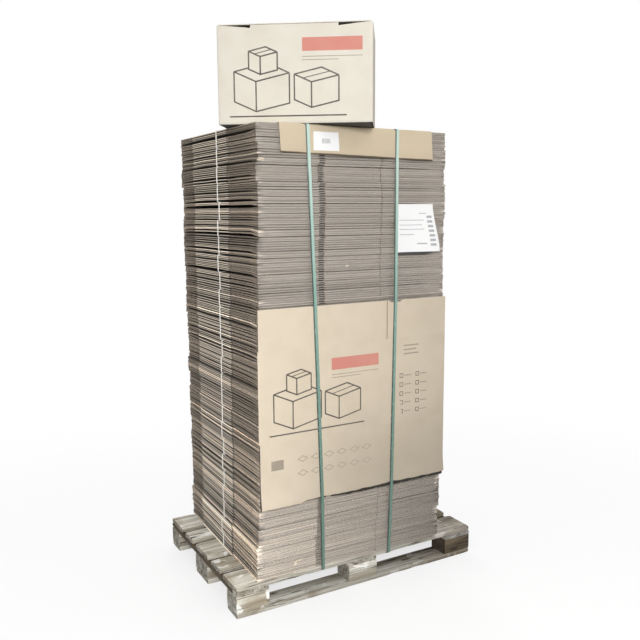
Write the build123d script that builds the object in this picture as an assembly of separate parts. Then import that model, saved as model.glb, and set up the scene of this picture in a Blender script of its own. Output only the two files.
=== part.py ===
from build123d import *
import os
from math import ceil, cos, floor, radians, sin, tan

# Block pallet of softwood boards
PALLET_LENGTH = 1200.0
PALLET_DEPTH = 800.0
WIDE_BOARD = 145.0
NARROW_BOARD = 100.0
RUNNER_HEIGHT = 20.0
BLOCK_HEIGHT = 70.0
CROSS_HEIGHT = 20.0
DECK_HEIGHT = 20.0

# Slotted box of corrugated board, glued into a tube and pressed flat
BOARD = 4.4
PANEL_LENGTH = 600.0
PANEL_WIDTH = 316.0
BOX_HEIGHT = 374.0
BOTTOM_FLAP = 263.0
TOP_FLAP = 163.0
SLOT_WIDTH = 9.0
JOINT_SLOT_WIDTH = 24.0
FOLD_SETBACK = 7.0

# Tied bundles of flat boxes
BUNDLES = 25
BOXES_PER_BUNDLE = 8
LAYER_GAP = 0.2
TWINE_WIDTH = 4.0
TWINE_THICKNESS = 0.8
TWINE_SETBACK = 360.0
TWINE_STAGGER = 12.0

# The load on the pallet, and how far its layers stray from a true stack
STACK_CENTRE_X = -36.0
STACK_FRONT_SETBACK = 2.0
BUNDLE_STRAY = 3.0
BOX_STRAY = 1.5
TURN_STRAY = 0.15
LOAD_TURN = 1.05
LOAD_TWIST = 1.8
TWISTED_BUNDLES = 19
SPLAYED_BUNDLES = 5
SPLAY_SHIFT = 6.0
SPLAY_TURN = 0.6
STRAY_PACE = 1.7
STRAY_SPREAD = 2.4

# Folded cover over the top front edge
COVER_BOARD = 3.0
COVER_WIDTH = 730.0
COVER_CENTRE_X = -21.0
COVER_DROP_LEFT = 105.0
COVER_DROP_RIGHT = 117.0
COVER_TOP_LEG = 120.0

# Flat box stood upright against the front, held by the straps
SHEET_FOOT = 315.0

# Paper pieces on the front
LABEL_WIDTH = 112.0
LABEL_HEIGHT = 72.0
LABEL_CENTRE_X = -182.0
LABEL_DROP = 64.0
NOTE_TUCK = 10.0
NOTE_TOP_WIDTH = 202.0
NOTE_FOOT_WIDTH = 236.0
NOTE_HEIGHT = 202.0
NOTE_FOOT = 1315.0
PAPER_THICKNESS = 0.4

# Straps around the load and under the deck
STRAP_WIDTH = 16.0
STRAP_THICKNESS = 0.9
LEFT_STRAP_TOP_X = -264.0
LEFT_STRAP_FOOT_X = -202.0
RIGHT_STRAP_TOP_X = 163.0
RIGHT_STRAP_FOOT_X = 130.0

# Box set up and closed, standing on the load
CARTON_CORNER_X = -545.0
CARTON_CORNER_Y = -201.0
CARTON_TURN = -35.0
SLIT_LENGTH = 105.0
SLIT_END = 26.0
SLIT_HEIGHT = 9.0
SLIT_DEPTH = 40.0

# Room left between pieces that only lie against each other
SEAT = 0.1

deck_top = RUNNER_HEIGHT + BLOCK_HEIGHT + CROSS_HEIGHT + DECK_HEIGHT
flat_width = PANEL_LENGTH + PANEL_WIDTH
flat_depth = BOTTOM_FLAP + BOX_HEIGHT + TOP_FLAP
flat_thickness = 2 * BOARD
bundle_gap = TWINE_THICKNESS + 2 * SEAT
bundle_height = BOXES_PER_BUNDLE * flat_thickness + (BOXES_PER_BUNDLE - 1) * LAYER_GAP
bundle_pitch = bundle_height + bundle_gap
stack_top = deck_top + BUNDLES * bundle_pitch
stack_front = -PALLET_DEPTH / 2 + STACK_FRONT_SETBACK
stack_centre_y = stack_front + flat_depth / 2

ON_BASE = (Align.CENTER, Align.CENTER, Align.MIN)
nodes = {}


def board(length, depth, height, x, y, z):
    """A sawn board or block, standing on the height z."""
    return Pos(x, y, z) * Box(length, depth, height, align=ON_BASE)


def stray(index, reach):
    """A small offset that differs from piece to piece and never passes its reach."""
    return reach * sin(STRAY_SPREAD * index * index + STRAY_PACE * index)


# Pallet: three runners, nine blocks, three cross boards and five deck boards

outer_column = (PALLET_LENGTH - WIDE_BOARD) / 2
outer_row = (PALLET_DEPTH - NARROW_BOARD) / 2
column_x = {"left": -outer_column, "middle": 0.0, "right": outer_column}
row_y = {"front": -outer_row, "centre": 0.0, "rear": outer_row}
row_depth = {"front": NARROW_BOARD, "centre": WIDE_BOARD, "rear": NARROW_BOARD}

for row, y in row_y.items():
    nodes[f"runner_{row}"] = board(PALLET_LENGTH, row_depth[row], RUNNER_HEIGHT, 0, y, 0)
    for column, x in column_x.items():
        nodes[f"block_{row}_{column}"] = board(WIDE_BOARD, row_depth[row], BLOCK_HEIGHT, x, y, RUNNER_HEIGHT)

cross_base = RUNNER_HEIGHT + BLOCK_HEIGHT
for column, x in column_x.items():
    nodes[f"cross_board_{column}"] = board(WIDE_BOARD, PALLET_DEPTH, CROSS_HEIGHT, x, 0, cross_base)

deck_widths = [WIDE_BOARD, NARROW_BOARD, WIDE_BOARD, NARROW_BOARD, WIDE_BOARD]
deck_gap = (PALLET_DEPTH - sum(deck_widths)) / (len(deck_widths) - 1)
deck_base = cross_base + CROSS_HEIGHT
board_front = -PALLET_DEPTH / 2
for number, depth in enumerate(deck_widths, start=1):
    board_y = board_front + depth / 2
    nodes[f"deck_board_{number}"] = board(PALLET_LENGTH, depth, DECK_HEIGHT, 0, board_y, deck_base)
    board_front += depth + deck_gap


# Flat boxes: each wall is a panel row whose flaps stand back from the side folds


def flat_wall(slot_x, slot_width, slotted_ends):
    """The outline of one wall of a flat box, its bottom flaps in front and its top flaps behind."""
    panels = Pos(0, BOTTOM_FLAP + BOX_HEIGHT / 2) * Rectangle(flat_width, BOX_HEIGHT)
    flaps = Pos(0, flat_depth / 2) * Rectangle(flat_width - 2 * FOLD_SETBACK, flat_depth)
    outline = panels + flaps
    if "bottom" in slotted_ends:
        outline -= Pos(slot_x, BOTTOM_FLAP / 2) * Rectangle(slot_width, BOTTOM_FLAP)
    if "top" in slotted_ends:
        outline -= Pos(slot_x, flat_depth - TOP_FLAP / 2) * Rectangle(slot_width, TOP_FLAP)
    return outline


def flat_box(slotted_ends):
    """A box pressed flat: its two walls are joined at the side folds, with the slots at opposite thirds."""
    lower = extrude(flat_wall(PANEL_WIDTH - flat_width / 2, JOINT_SLOT_WIDTH, slotted_ends), BOARD)
    upper = extrude(flat_wall(PANEL_LENGTH - flat_width / 2, SLOT_WIDTH, slotted_ends), BOARD)
    return (lower + Pos(0, 0, BOARD) * upper).clean()


stacked_box = flat_box([])


def bundle_splay(index):
    """How much of the full splay a bundle has: all of it at the foot of the load, none a few bundles up."""
    return max(0.0, 1 - index / SPLAYED_BUNDLES)


def bundle_turn(index):
    """The turn of a bundle about the vertical: the load is twisted, so its foot is turned back from its head."""
    twist = LOAD_TWIST * max(0.0, 1 - index / TWISTED_BUNDLES)
    return LOAD_TURN - twist - SPLAY_TURN * bundle_splay(index) + stray(index + 2 * BUNDLES, TURN_STRAY)


def bundle_place(index):
    """Where a bundle lies: the middle of its underside, and its turn about the vertical."""
    x = STACK_CENTRE_X + stray(index, BUNDLE_STRAY) - SPLAY_SHIFT * bundle_splay(index)
    y = stack_centre_y + stray(index + BUNDLES, BUNDLE_STRAY)
    z = deck_top + bundle_gap + index * bundle_pitch
    return Pos(x, y, z) * Rot(0, 0, bundle_turn(index))


def bundle_reach(index, x):
    """The front and the rear of a bundle at a place along it, counting its turn and the stray of its boxes."""
    position = bundle_place(index).position
    turn = radians(bundle_turn(index))
    middle = position.Y + (x - position.X) * tan(turn)
    half_depth = (flat_depth / 2 + BOX_STRAY) / cos(turn) + BOX_STRAY * abs(tan(turn))
    return middle - half_depth, middle + half_depth


def load_reach(low, high, left, right):
    """The foremost and rearmost reach, from left to right, of the bundles between two heights above the deck."""
    first = max(0, floor(low / bundle_pitch))
    last = min(BUNDLES, ceil(high / bundle_pitch))
    reaches = [bundle_reach(index, x) for index in range(first, last) for x in (left, right)]
    fronts, rears = zip(*reaches)
    return min(fronts), max(rears)


# Bundles, each tied round the middle by one loop of flat twine

loop_width = flat_width + 2 * (BOX_STRAY + SEAT)
loop_height = bundle_height + 2 * SEAT
twine_loops = []
for index in range(BUNDLES):
    place = bundle_place(index)
    boxes = []
    for layer in range(BOXES_PER_BUNDLE):
        seed = index * BOXES_PER_BUNDLE + layer
        x = stray(seed, BOX_STRAY)
        y = -flat_depth / 2 + stray(seed + BUNDLES, BOX_STRAY)
        z = layer * (flat_thickness + LAYER_GAP)
        boxes.append(place * Pos(x, y, z) * stacked_box)
    nodes[f"bundle_{index + 1:02d}"] = Compound(children=boxes)

    ring = Rectangle(loop_width + 2 * TWINE_THICKNESS, loop_height + 2 * TWINE_THICKNESS)
    ring -= Rectangle(loop_width, loop_height)
    loop_y = TWINE_SETBACK - flat_depth / 2 + TWINE_STAGGER * (index % 2) - TWINE_STAGGER / 2
    upright = Plane(origin=(0, loop_y, bundle_height / 2), x_dir=(1, 0, 0), z_dir=(0, -1, 0))
    twine_loops.append(place * extrude(upright * ring, TWINE_WIDTH / 2, both=True))
nodes["bundle_twine"] = Compound(children=twine_loops)


# Cover: one strip of board folded over the top front edge, its front leg cut a little out of square

load_height = BUNDLES * bundle_pitch
cover_left = COVER_CENTRE_X - COVER_WIDTH / 2
cover_right = COVER_CENTRE_X + COVER_WIDTH / 2
cover_slope = tan(radians(LOAD_TURN))
cover_depth = COVER_BOARD / cos(radians(LOAD_TURN))
cover_foot = load_height - max(COVER_DROP_LEFT, COVER_DROP_RIGHT)
cover_fronts = []
for x in (cover_left, cover_right):
    cover_fronts.append(load_reach(cover_foot, load_height, x, x)[0] - (x - COVER_CENTRE_X) * cover_slope)
cover_middle = min(cover_fronts) - SEAT


def cover_back(x):
    """The inner face of the cover's front leg, which lies along the turned head of the load."""
    return cover_middle + (x - COVER_CENTRE_X) * cover_slope


cover_seat = stack_top + SEAT
cover_top = cover_seat + COVER_BOARD
cover_outline = Polyline(
    (-COVER_WIDTH / 2, cover_top),
    (COVER_WIDTH / 2, cover_top),
    (COVER_WIDTH / 2, cover_top - COVER_DROP_RIGHT),
    (-COVER_WIDTH / 2, cover_top - COVER_DROP_LEFT),
    close=True,
)
front_leg = extrude(Plane.XZ * make_face(cover_outline), COVER_BOARD)
top_leg = Pos(0, 0, cover_seat) * Box(
    COVER_WIDTH, COVER_TOP_LEG, COVER_BOARD, align=(Align.CENTER, Align.MIN, Align.MIN)
)
folded_strip = (front_leg + Pos(0, -COVER_BOARD, 0) * top_leg).clean()
cover_place = Pos(COVER_CENTRE_X, cover_middle, 0) * Rot(0, 0, LOAD_TURN)
nodes["top_cover"] = cover_place * folded_strip


# Upright sheet: one more flat box, bottom flaps down, its printed wall to the front

sheet_foot_z = deck_top + SHEET_FOOT
sheet_left = STACK_CENTRE_X - flat_width / 2
sheet_right = STACK_CENTRE_X + flat_width / 2
sheet_back = load_reach(SHEET_FOOT, SHEET_FOOT + flat_depth, sheet_left, sheet_right)[0] - SEAT
sheet_front = sheet_back - flat_thickness
sheet_place = Pos(STACK_CENTRE_X, sheet_back, sheet_foot_z) * Rot(90, 0, 0)
nodes["upright_sheet"] = sheet_place * flat_box(["bottom", "top"])


# Paper: a stuck label on the cover and a delivery note tucked behind the right strap

label_y = -COVER_BOARD - PAPER_THICKNESS / 2
label_place = cover_place * Pos(LABEL_CENTRE_X - COVER_CENTRE_X, label_y, cover_top - LABEL_DROP)
nodes["address_label"] = label_place * Box(LABEL_WIDTH, PAPER_THICKNESS, LABEL_HEIGHT)

strap_high = cover_top + SEAT
strap_low = deck_base - SEAT


def strap_x(top_x, foot_x, z):
    """Where the middle line of a leaning strap is at a height."""
    return foot_x + (top_x - foot_x) * (z - strap_low) / (strap_high - strap_low)


note_foot_z = deck_top + NOTE_FOOT
note_left = strap_x(RIGHT_STRAP_TOP_X, RIGHT_STRAP_FOOT_X, note_foot_z) - NOTE_TUCK
note_right = note_left + max(NOTE_TOP_WIDTH, NOTE_FOOT_WIDTH)
note_back = load_reach(NOTE_FOOT, NOTE_FOOT + NOTE_HEIGHT, note_left, note_right)[0] - SEAT
note_outline = Polyline(
    (0, 0), (NOTE_FOOT_WIDTH, 0), (NOTE_TOP_WIDTH, NOTE_HEIGHT), (0, NOTE_HEIGHT), close=True
)
note_place = Pos(note_left, note_back, note_foot_z)
nodes["delivery_note"] = note_place * extrude(Plane.XZ * make_face(note_outline), PAPER_THICKNESS)


# Straps: flat bands pulled tight over the cover and the sheet and passed under the deck boards


def outward_corner(before, corner, after, thickness):
    """The outer corner of a band that bends at an inner corner, both in the plane of the loop."""
    into = (Vector(*corner) - Vector(*before)).normalized()
    away = (Vector(*after) - Vector(*corner)).normalized()
    normal_into = Vector(-into.Y, into.X)
    normal_away = Vector(-away.Y, away.X)
    middle = (normal_into + normal_away).normalized()
    reach = thickness / middle.dot(normal_into)
    return Vector(*corner) + middle * reach


def strap(top_x, foot_x):
    """A closed band whose upright runs lean sideways from top_x to foot_x."""
    left = min(top_x, foot_x) - STRAP_WIDTH / 2
    right = max(top_x, foot_x) + STRAP_WIDTH / 2
    foot_front = min(load_reach(0, SHEET_FOOT, left, right)[0], -PALLET_DEPTH / 2)
    rear = max(load_reach(0, load_height, left, right)[1], PALLET_DEPTH / 2)
    head_front = min(cover_back(left), cover_back(right)) - cover_depth
    head_back = max(cover_back(left), cover_back(right)) + COVER_TOP_LEG
    loop = [
        (rear + SEAT, stack_top + SEAT),
        (rear + SEAT, strap_low),
        (foot_front - SEAT, strap_low),
        (sheet_front - SEAT, sheet_foot_z),
        (sheet_front - SEAT, sheet_foot_z + flat_depth),
        (head_front - SEAT, strap_high),
        (head_back, strap_high),
    ]
    count = len(loop)
    outer = []
    for k in range(count):
        outer.append(outward_corner(loop[k - 1], loop[k], loop[(k + 1) % count], STRAP_THICKNESS))

    def edge_point(y, z, side):
        return Vector(strap_x(top_x, foot_x, z) + side * STRAP_WIDTH / 2, y, z)

    faces = []
    for k in range(count):
        n = (k + 1) % count
        ring = {}
        for side in (-1, 1):
            ring[side] = [
                edge_point(*loop[k], side),
                edge_point(*loop[n], side),
                edge_point(outer[n].X, outer[n].Y, side),
                edge_point(outer[k].X, outer[k].Y, side),
            ]
        inner_run = [ring[-1][0], ring[-1][1], ring[1][1], ring[1][0]]
        outer_run = [ring[-1][3], ring[-1][2], ring[1][2], ring[1][3]]
        corners = [inner_run, outer_run]
        for side in (-1, 1):
            a, b, c, d = ring[side]
            corners.append([a, b, c])
            corners.append([a, c, d])
        for points in corners:
            faces.append(Face(Wire.make_polygon(points)))
    return Solid(Shell(faces))


nodes["strap_left"] = strap(LEFT_STRAP_TOP_X, LEFT_STRAP_FOOT_X)
nodes["strap_right"] = strap(RIGHT_STRAP_TOP_X, RIGHT_STRAP_FOOT_X)


# Carton: one box set up, its long top flaps lapped and locked by the slits at the front fold


def carton():
    """The closed box with its front lower left corner at the origin and its front along X."""
    in_front = (Align.MIN, Align.MIN, Align.MIN)
    flap_length = PANEL_LENGTH - 2 * FOLD_SETBACK
    tube = Pos(0, 0, BOARD) * Box(PANEL_LENGTH, PANEL_WIDTH, BOX_HEIGHT - 3 * BOARD, align=in_front)
    bottom = Pos(FOLD_SETBACK, 0, 0) * Box(flap_length, PANEL_WIDTH, BOARD, align=in_front)
    rear_lap = Pos(FOLD_SETBACK, PANEL_WIDTH, BOX_HEIGHT - 2 * BOARD) * Box(
        flap_length, PANEL_WIDTH, BOARD, align=(Align.MIN, Align.MAX, Align.MIN)
    )
    front_lap = Pos(FOLD_SETBACK, 0, BOX_HEIGHT - BOARD) * Box(flap_length, TOP_FLAP, BOARD, align=in_front)
    body = tube + bottom + rear_lap + front_lap
    slit_base = BOX_HEIGHT - BOARD - SLIT_HEIGHT
    for start, way in ((SLIT_END, 1), (PANEL_LENGTH - SLIT_END, -1)):
        wedge = Polyline(
            (start, slit_base),
            (start + way * SLIT_LENGTH, slit_base),
            (start + way * SLIT_LENGTH, slit_base + SLIT_HEIGHT),
            close=True,
        )
        body -= extrude(Plane.XZ * make_face(wedge), -SLIT_DEPTH)
    return body.clean()


carton_seat = cover_top + SEAT + STRAP_THICKNESS + SEAT
nodes["carton"] = Pos(CARTON_CORNER_X, CARTON_CORNER_Y, carton_seat) * Rot(0, 0, CARTON_TURN) * carton()


os.makedirs("parts", exist_ok=True)
for name, shape in nodes.items():
    export_step(shape, f"parts/{name}.step")
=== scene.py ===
import itertools
import math

import bmesh
import bpy
import numpy as np
from mathutils import Matrix, Vector, noise


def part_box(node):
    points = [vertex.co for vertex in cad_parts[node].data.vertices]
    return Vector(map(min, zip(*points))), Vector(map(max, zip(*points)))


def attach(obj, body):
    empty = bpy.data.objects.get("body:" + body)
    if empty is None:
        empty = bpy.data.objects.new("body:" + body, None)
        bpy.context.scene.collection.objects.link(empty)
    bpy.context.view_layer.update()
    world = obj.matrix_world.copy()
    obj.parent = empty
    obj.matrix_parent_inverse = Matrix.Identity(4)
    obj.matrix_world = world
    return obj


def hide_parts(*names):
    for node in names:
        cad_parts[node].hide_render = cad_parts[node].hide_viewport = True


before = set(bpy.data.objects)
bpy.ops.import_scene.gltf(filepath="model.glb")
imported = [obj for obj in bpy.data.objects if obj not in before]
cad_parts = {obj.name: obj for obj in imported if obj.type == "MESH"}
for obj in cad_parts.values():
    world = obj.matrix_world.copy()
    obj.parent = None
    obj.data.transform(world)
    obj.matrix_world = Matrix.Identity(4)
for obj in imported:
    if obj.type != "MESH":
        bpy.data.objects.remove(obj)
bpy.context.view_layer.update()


# Pallet timber: rough-sawn softwood boards and blocks, greyed by weather, with painted shade that darkens
# them to the right.
# Runners lie under the blocks, cross boards on them and deck boards on top, all nailed. Their arrises
# are rubbed round and the ends are chipped, so each is lofted with uneven corners along its grain.

TIMBERS = ("runner_", "block_", "cross_board_", "deck_board_")
LONG_TIMBER = 0.5
END_TRIM = 0.004
BLOCK_TRIM = 0.0012
RING_STEP = 0.022
ARRIS = 0.0018
CHIP_DEPTH = 0.008
CHIP_REACH = (0.012, 0.05)
END_CHIP_REACH = (0.008, 0.03)
CUP = 0.0008
SAW_MARK = 0.0007
# Painted light and shade: the timber is painted pale at the left end and darker towards the right.
LEFT_TONE = 1.25
RIGHT_TONE = 0.55
TONE_SWING = 0.08
# Painted shade on the cross boards where they show in the gaps under the deck, lifted again at their front
# ends.
CROSS_SHADE = 0.22
CROSS_END = 0.03
CROSS_END_TONE = 1.5
# Painted light and shade on the front blocks: lit on the left and in the middle, shaded on the right.
BLOCK_TONES = {"block_front_left": 1.35, "block_front_middle": 1.3, "block_front_right": 0.26}
CREASE_ANGLE = math.radians(35)


def linear(red, green, blue):
    """A colour as a screen shows it, 0 to 255, on the shader's linear scale."""
    channels = [value / 255 for value in (red, green, blue)]
    return tuple(c / 12.92 if c <= 0.04045 else ((c + 0.055) / 1.055) ** 2.4 for c in channels) + (1.0,)


class Surface:
    """The points, faces, finishes and face maps of one mesh, gathered part by part."""

    def __init__(self):
        self.points = []
        self.faces = []
        self.finishes = []
        self.maps = []
        self.shades = []
        self.grains = []
        self.count = 0

    def add(self, points, faces, finishes, maps, shade=1.0, grain=None):
        """More of the mesh: points, faces with their finishes and maps, and the points' shade and grain."""
        points = np.asarray(points, float)
        self.points.append(points)
        self.faces.extend([tuple(int(i) + self.count for i in face) for face in faces])
        self.finishes.extend(finishes)
        self.maps.extend(maps)
        self.shades.append(np.broadcast_to(np.asarray(shade, float), (len(points),)))
        self.grains.append(np.zeros_like(points) if grain is None else np.asarray(grain, float))
        self.count += len(points)

    def build(self, name, materials, nodes=()):
        """The finished piece, fixed to the root body, in place of its CAD nodes."""
        mesh = bpy.data.meshes.new(name)
        mesh.from_pydata(np.concatenate(self.points).tolist(), [], self.faces)
        for material in materials:
            mesh.materials.append(material)
        mesh.polygons.foreach_set("material_index", self.finishes)
        corners = np.concatenate([np.asarray(face_map, float) for face_map in self.maps])
        mesh.uv_layers.new(name="face_map").data.foreach_set("uv", corners.ravel())
        mesh.attributes.new("shade", "FLOAT", "POINT").data.foreach_set("value", np.concatenate(self.shades))
        grain = mesh.attributes.new("grain", "FLOAT_VECTOR", "POINT")
        grain.data.foreach_set("vector", np.concatenate(self.grains).ravel())
        shell = bmesh.new()
        shell.from_mesh(mesh)
        bmesh.ops.recalc_face_normals(shell, faces=shell.faces[:])
        shell.to_mesh(mesh)
        shell.free()
        mesh.polygons.foreach_set("use_smooth", [True] * len(mesh.polygons))
        mesh.set_sharp_from_angle(angle=CREASE_ANGLE)
        made = bpy.data.objects.new(name, mesh)
        bpy.context.scene.collection.objects.link(made)
        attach(made, "root")
        if nodes:
            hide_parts(*nodes)


def add_loft(surface, rings, side_finish, cap_finish, cap_maps, shade=1.0, grain=None):
    """Skin a row of closed rings of points, and close both ends."""
    rings = np.asarray(rings, float)
    steps, around = rings.shape[:2]
    lengths = np.linalg.norm(np.roll(rings[0], -1, 0) - rings[0], axis=1)
    round_u = np.concatenate([[0], np.cumsum(lengths)])
    along_v = np.concatenate([[0], np.cumsum(np.linalg.norm(np.diff(rings[:, 0], axis=0), axis=1))])
    faces, maps = [], []
    for k in range(steps - 1):
        for i in range(around):
            j = (i + 1) % around
            faces.append((k * around + i, k * around + j, (k + 1) * around + j, (k + 1) * around + i))
            maps.append([(round_u[i], along_v[k]), (round_u[i + 1], along_v[k]),
                         (round_u[i + 1], along_v[k + 1]), (round_u[i], along_v[k + 1])])
    finishes = [side_finish] * len(faces)
    last = (steps - 1) * around
    for start, order in ((0, range(around - 1, -1, -1)), (last, range(around))):
        faces.append(tuple(start + i for i in order))
        maps.append([cap_maps[i] for i in order])
        finishes.append(cap_finish)
    surface.add(rings.reshape(-1, 3), faces, finishes, maps, shade, grain)


def new_finish(name, roughness):
    """A material and its shader."""
    material = bpy.data.materials.new(name)
    material.use_nodes = True
    shader = material.node_tree.nodes["Principled BSDF"]
    shader.inputs["Roughness"].default_value = roughness
    return material, shader


def put(material, kind, sockets=None, **settings):
    """A shader node, with its sockets set to values or joined to other sockets."""
    made = material.node_tree.nodes.new("ShaderNode" + kind)
    for key, value in settings.items():
        setattr(made, key, value)
    for key, value in (sockets or {}).items():
        if isinstance(value, bpy.types.NodeSocket):
            material.node_tree.links.new(value, made.inputs[key])
        else:
            made.inputs[key].default_value = value
    return made


def join(material, output, shader, socket):
    material.node_tree.links.new(output, shader.inputs[socket])


def attribute(material, name, output):
    return put(material, "Attribute", attribute_name=name).outputs[output]


def stretched(material, coordinates, scale):
    return put(material, "Mapping", {"Vector": coordinates, "Scale": scale}).outputs[0]


def cloudy(material, coordinates, scale, detail=3.0, distortion=0.0):
    sockets = {"Vector": coordinates, "Scale": scale, "Detail": detail, "Distortion": distortion}
    return put(material, "TexNoise", sockets).outputs[0]


def sums(material, operation, first, second=0.0, third=0.0):
    return put(material, "Math", {0: first, 1: second, 2: third}, operation=operation).outputs[0]


def eased(material, value, low, high, to_low=0.0, to_high=1.0):
    sockets = {0: value, 1: low, 2: high, 3: to_low, 4: to_high}
    return put(material, "MapRange", sockets, interpolation_type="SMOOTHSTEP").outputs[0]


def blended(material, factor, first, second, blend_type="MIX"):
    made = put(material, "Mix", {0: factor, 6: first, 7: second}, data_type="RGBA", blend_type=blend_type)
    return made.outputs[2]


def graded(material, value, stops):
    ramp = put(material, "ValToRGB", {"Fac": value})
    elements = ramp.color_ramp.elements
    for element, (place, colour) in zip(elements, (stops[0], stops[-1])):
        element.position = place
        element.color = colour
    for place, colour in stops[1:-1]:
        elements.new(place).color = colour
    return ramp.outputs[0]


def shaded(material, colour, factor):
    """A colour made lighter or darker by a factor."""
    return put(material, "VectorMath", {0: colour, 3: factor}, operation="SCALE").outputs[0]


def roughen(material, shader, height, strength, distance):
    bump = put(material, "Bump", {"Height": height, "Strength": strength, "Distance": distance})
    join(material, bump.outputs[0], shader, "Normal")


def weathered_wood(name, fibre_scale, streak_scale, depth):
    """Greyed softwood: broad streaks, fine fibres, drying cracks, a few knots and dirt, and a brown tint
    where the painted shade is deep.
    """
    material, shader = new_finish(name, 0.88)
    place = attribute(material, "grain", "Vector")
    streaks = cloudy(material, stretched(material, place, streak_scale), 1.0, 6.0, 0.5)
    fibres = cloudy(material, stretched(material, place, fibre_scale), 1.0, 3.0)
    blotches = cloudy(material, place, 7.0, 4.0)
    colour = graded(material, streaks, [
        (0.26, linear(104, 94, 78)), (0.40, linear(176, 169, 154)),
        (0.55, linear(216, 213, 202)), (0.72, linear(242, 240, 233)),
    ])
    colour = blended(material, eased(material, fibres, 0.40, 0.72, 0.0, 0.6), colour, linear(138, 128, 110))
    colour = blended(material, eased(material, blotches, 0.50, 0.70, 0.0, 0.6), colour, linear(132, 118, 92))
    scuffs = cloudy(material, stretched(material, place, (9.0, 16.0, 16.0)), 1.0, 2.0, 0.8)
    colour = blended(material, eased(material, scuffs, 0.62, 0.68, 0.0, 0.75), colour, linear(246, 245, 240))
    line = cloudy(material, stretched(material, place, (1.1, 46.0, 46.0)), 1.0, 2.0, 0.3)
    apart = sums(material, "ABSOLUTE", sums(material, "SUBTRACT", line, 0.5))
    crack = eased(material, apart, 0.004, 0.016)
    colour = blended(material, crack, linear(52, 44, 36), colour)
    knot_places = stretched(material, place, (4.2, 13.0, 13.0))
    cells = put(material, "TexVoronoi", {"Vector": knot_places, "Scale": 1.0}).outputs
    lot = put(material, "SeparateXYZ", {0: cells["Color"]}).outputs[0]
    core = eased(material, cells["Distance"], 0.07, 0.15, 0.8, 0.0)
    knots = sums(material, "MULTIPLY", core, sums(material, "GREATER_THAN", lot, 0.62))
    colour = blended(material, knots, colour, linear(88, 66, 46))
    shade = attribute(material, "shade", "Fac")
    # Painted shade also turns the wood browner where it is deep.
    shade_browning = eased(material, shade, 0.2, 0.85, 0.85, 0.0)
    colour = blended(material, shade_browning, colour, linear(214, 184, 142), "MULTIPLY")
    join(material, shaded(material, colour, sums(material, "MULTIPLY", shade, depth)), shader, "Base Color")
    height = sums(material, "MULTIPLY_ADD", fibres, 0.5, sums(material, "MULTIPLY_ADD", crack, 0.7, streaks))
    roughen(material, shader, height, 0.55, 0.0022)
    return material


side_grain = weathered_wood("weathered_side_grain", (9.0, 330.0, 330.0), (1.6, 24.0, 24.0), 1.0)
# The end grain is drawn at 0.58 of the side grain: partly end grain's own darker colour, partly painted shade
# on the ends.
end_grain = weathered_wood("weathered_end_grain", (190.0, 240.0, 240.0), (18.0, 34.0, 34.0), 0.58)

pallet_low, pallet_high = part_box("deck_board_3")


def painted_falloff(x):
    """How light the wood is painted: lit at the left end of the pallet, in painted shade at the right one."""
    share = np.clip((x - pallet_low.x) / (pallet_high.x - pallet_low.x), 0, 1)
    return LEFT_TONE + (RIGHT_TONE - LEFT_TONE) * share


def timber_ring(half_width, half_height, corner_cuts, cup):
    """A sawn section, anticlockwise from the lower left, with each corner cut back by its own amount."""
    ring = []
    for (side, level), cut in zip(((-1, -1), (1, -1), (1, 1), (-1, 1)), corner_cuts):
        corner = np.array([side * half_width, level * half_height])
        flat = np.array([-side * cut, 0.0])
        upright = np.array([0.0, -level * min(cut, half_height * 0.8)])
        middle = (flat + upright) * 0.32
        points = [corner + upright, corner + middle, corner + flat]
        ring.extend(points if side * level > 0 else points[::-1])
        if (side, level) in ((-1, -1), (1, 1)):
            ring.append(np.array([0.0, level * half_height - cup]))
    return ring


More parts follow.
